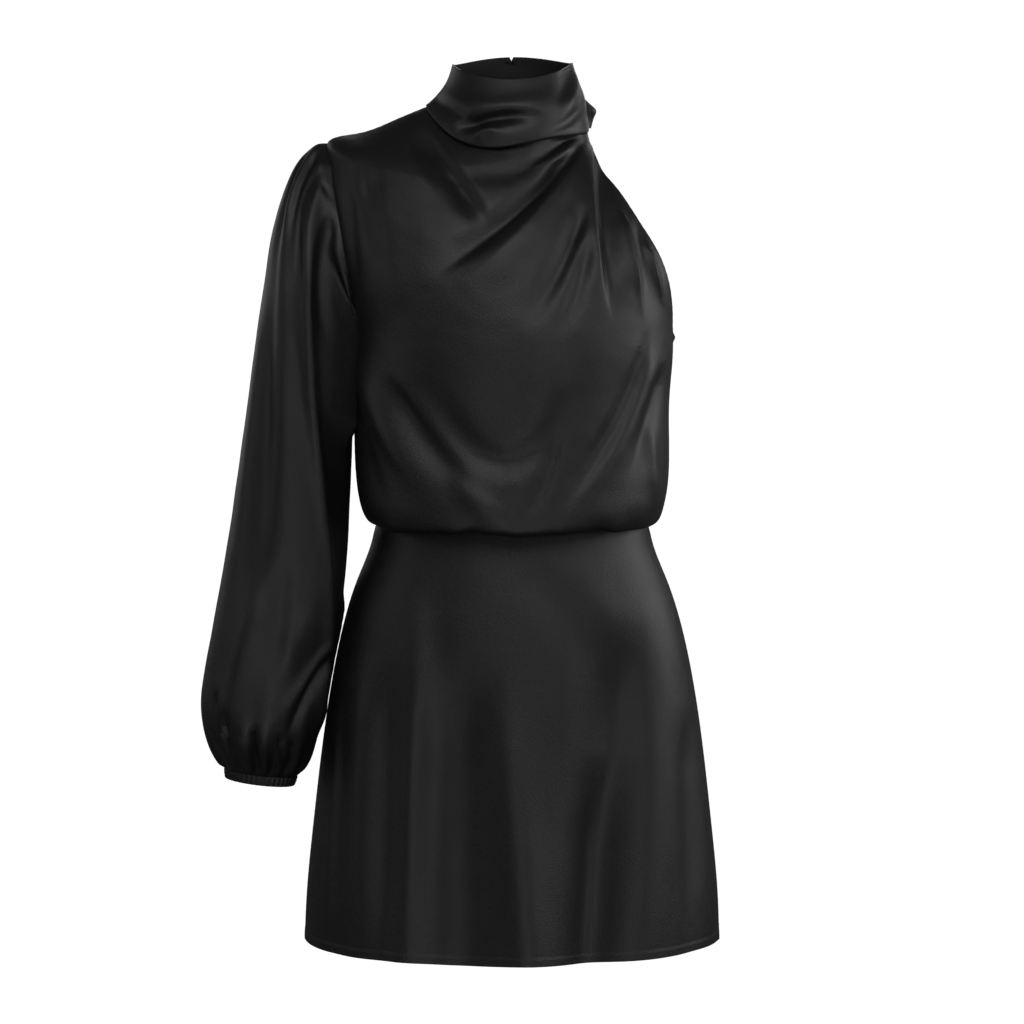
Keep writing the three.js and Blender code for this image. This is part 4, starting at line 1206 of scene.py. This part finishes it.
class DRESS_OT_cuff(bpy.types.Operator):
    """Narrow ribbed elastic cuff"""

    bl_idname = "dress.cuff"
    bl_label = "Cuff"

    def execute(self, context):
        stand_for(make_cuff(), "cuff")
        return {"FINISHED"}


class DRESS_OT_collar(bpy.types.Operator):
    """High folded collar and its short folded end"""

    bl_idname = "dress.collar"
    bl_label = "Collar"

    def execute(self, context):
        cloth = context.scene.dress_cloth
        collar = make_collar(cloth)
        stand_for(collar, "collar")
        stand_for(make_collar_end(cloth), "collar_end")
        return {"FINISHED"}


class DRESS_OT_fastening(bpy.types.Operator):
    """Hook and eye at the top of the slit"""

    bl_idname = "dress.fastening"
    bl_label = "Hook and eye"

    def execute(self, context):
        for piece, node in zip(make_fastening(), ("hook", "eye")):
            stand_for(piece, node)
        return {"FINISHED"}


class DRESS_OT_stitching(bpy.types.Operator):
    """Rows of stitches along the hem, the bare edge and the slit"""

    bl_idname = "dress.stitching"
    bl_label = "Stitching"

    def execute(self, context):
        runs = [run for line in stitch_lines for run in stitch_runs(line)]
        thread = plain_look("black_thread", (0.03, 0.03, 0.032), 0.4, grain=4000)
        stitches = tubes_object("stitches", runs, STITCH_WIRE, thread)
        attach(stitches, "root")
        return {"FINISHED"}


class DRESS_OT_stage(bpy.types.Operator):
    """Plain pale floor, soft light and camera"""

    bl_idname = "dress.stage"
    bl_label = "Stage"

    def execute(self, context):
        stage = context.scene.dress_stage
        make_floor(stage)
        make_lights(stage)
        make_camera()
        return {"FINISHED"}


class DRESS_PT_panel(bpy.types.Panel):
    """The dress's sizes and the buttons that make its pieces"""

    bl_idname = "DRESS_PT_panel"
    bl_label = "One-shoulder dress"
    bl_space_type = "VIEW_3D"
    bl_region_type = "UI"
    bl_category = "Dress"

    def draw(self, context):
        for group in (context.scene.dress_cloth, context.scene.dress_stage):
            for name in group.bl_rna.properties.keys():
                if name not in ("rna_type", "name"):
                    self.layout.prop(group, name)
        for operator in OPERATORS:
            self.layout.operator(operator.bl_idname)


OPERATORS = (
    DRESS_OT_stage,
    DRESS_OT_bodice,
    DRESS_OT_skirt,
    DRESS_OT_sleeve,
    DRESS_OT_cuff,
    DRESS_OT_collar,
    DRESS_OT_fastening,
    DRESS_OT_stitching,
)
CLASSES = (DressCloth, DressStage, *OPERATORS, DRESS_PT_panel)


def register():
    for item in CLASSES:
        bpy.utils.register_class(item)
    bpy.types.Scene.dress_cloth = bpy.props.PointerProperty(type=DressCloth)
    bpy.types.Scene.dress_stage = bpy.props.PointerProperty(type=DressStage)


def unregister():
    del bpy.types.Scene.dress_stage
    del bpy.types.Scene.dress_cloth
    for item in reversed(CLASSES):
        bpy.utils.unregister_class(item)


def main():
    register()
    bpy.ops.dress.stage()
    bpy.ops.dress.bodice()
    bpy.ops.dress.skirt()
    bpy.ops.dress.sleeve()
    bpy.ops.dress.cuff()
    bpy.ops.dress.collar()
    bpy.ops.dress.fastening()
    bpy.ops.dress.stitching()


if __name__ == "__main__":
    main()
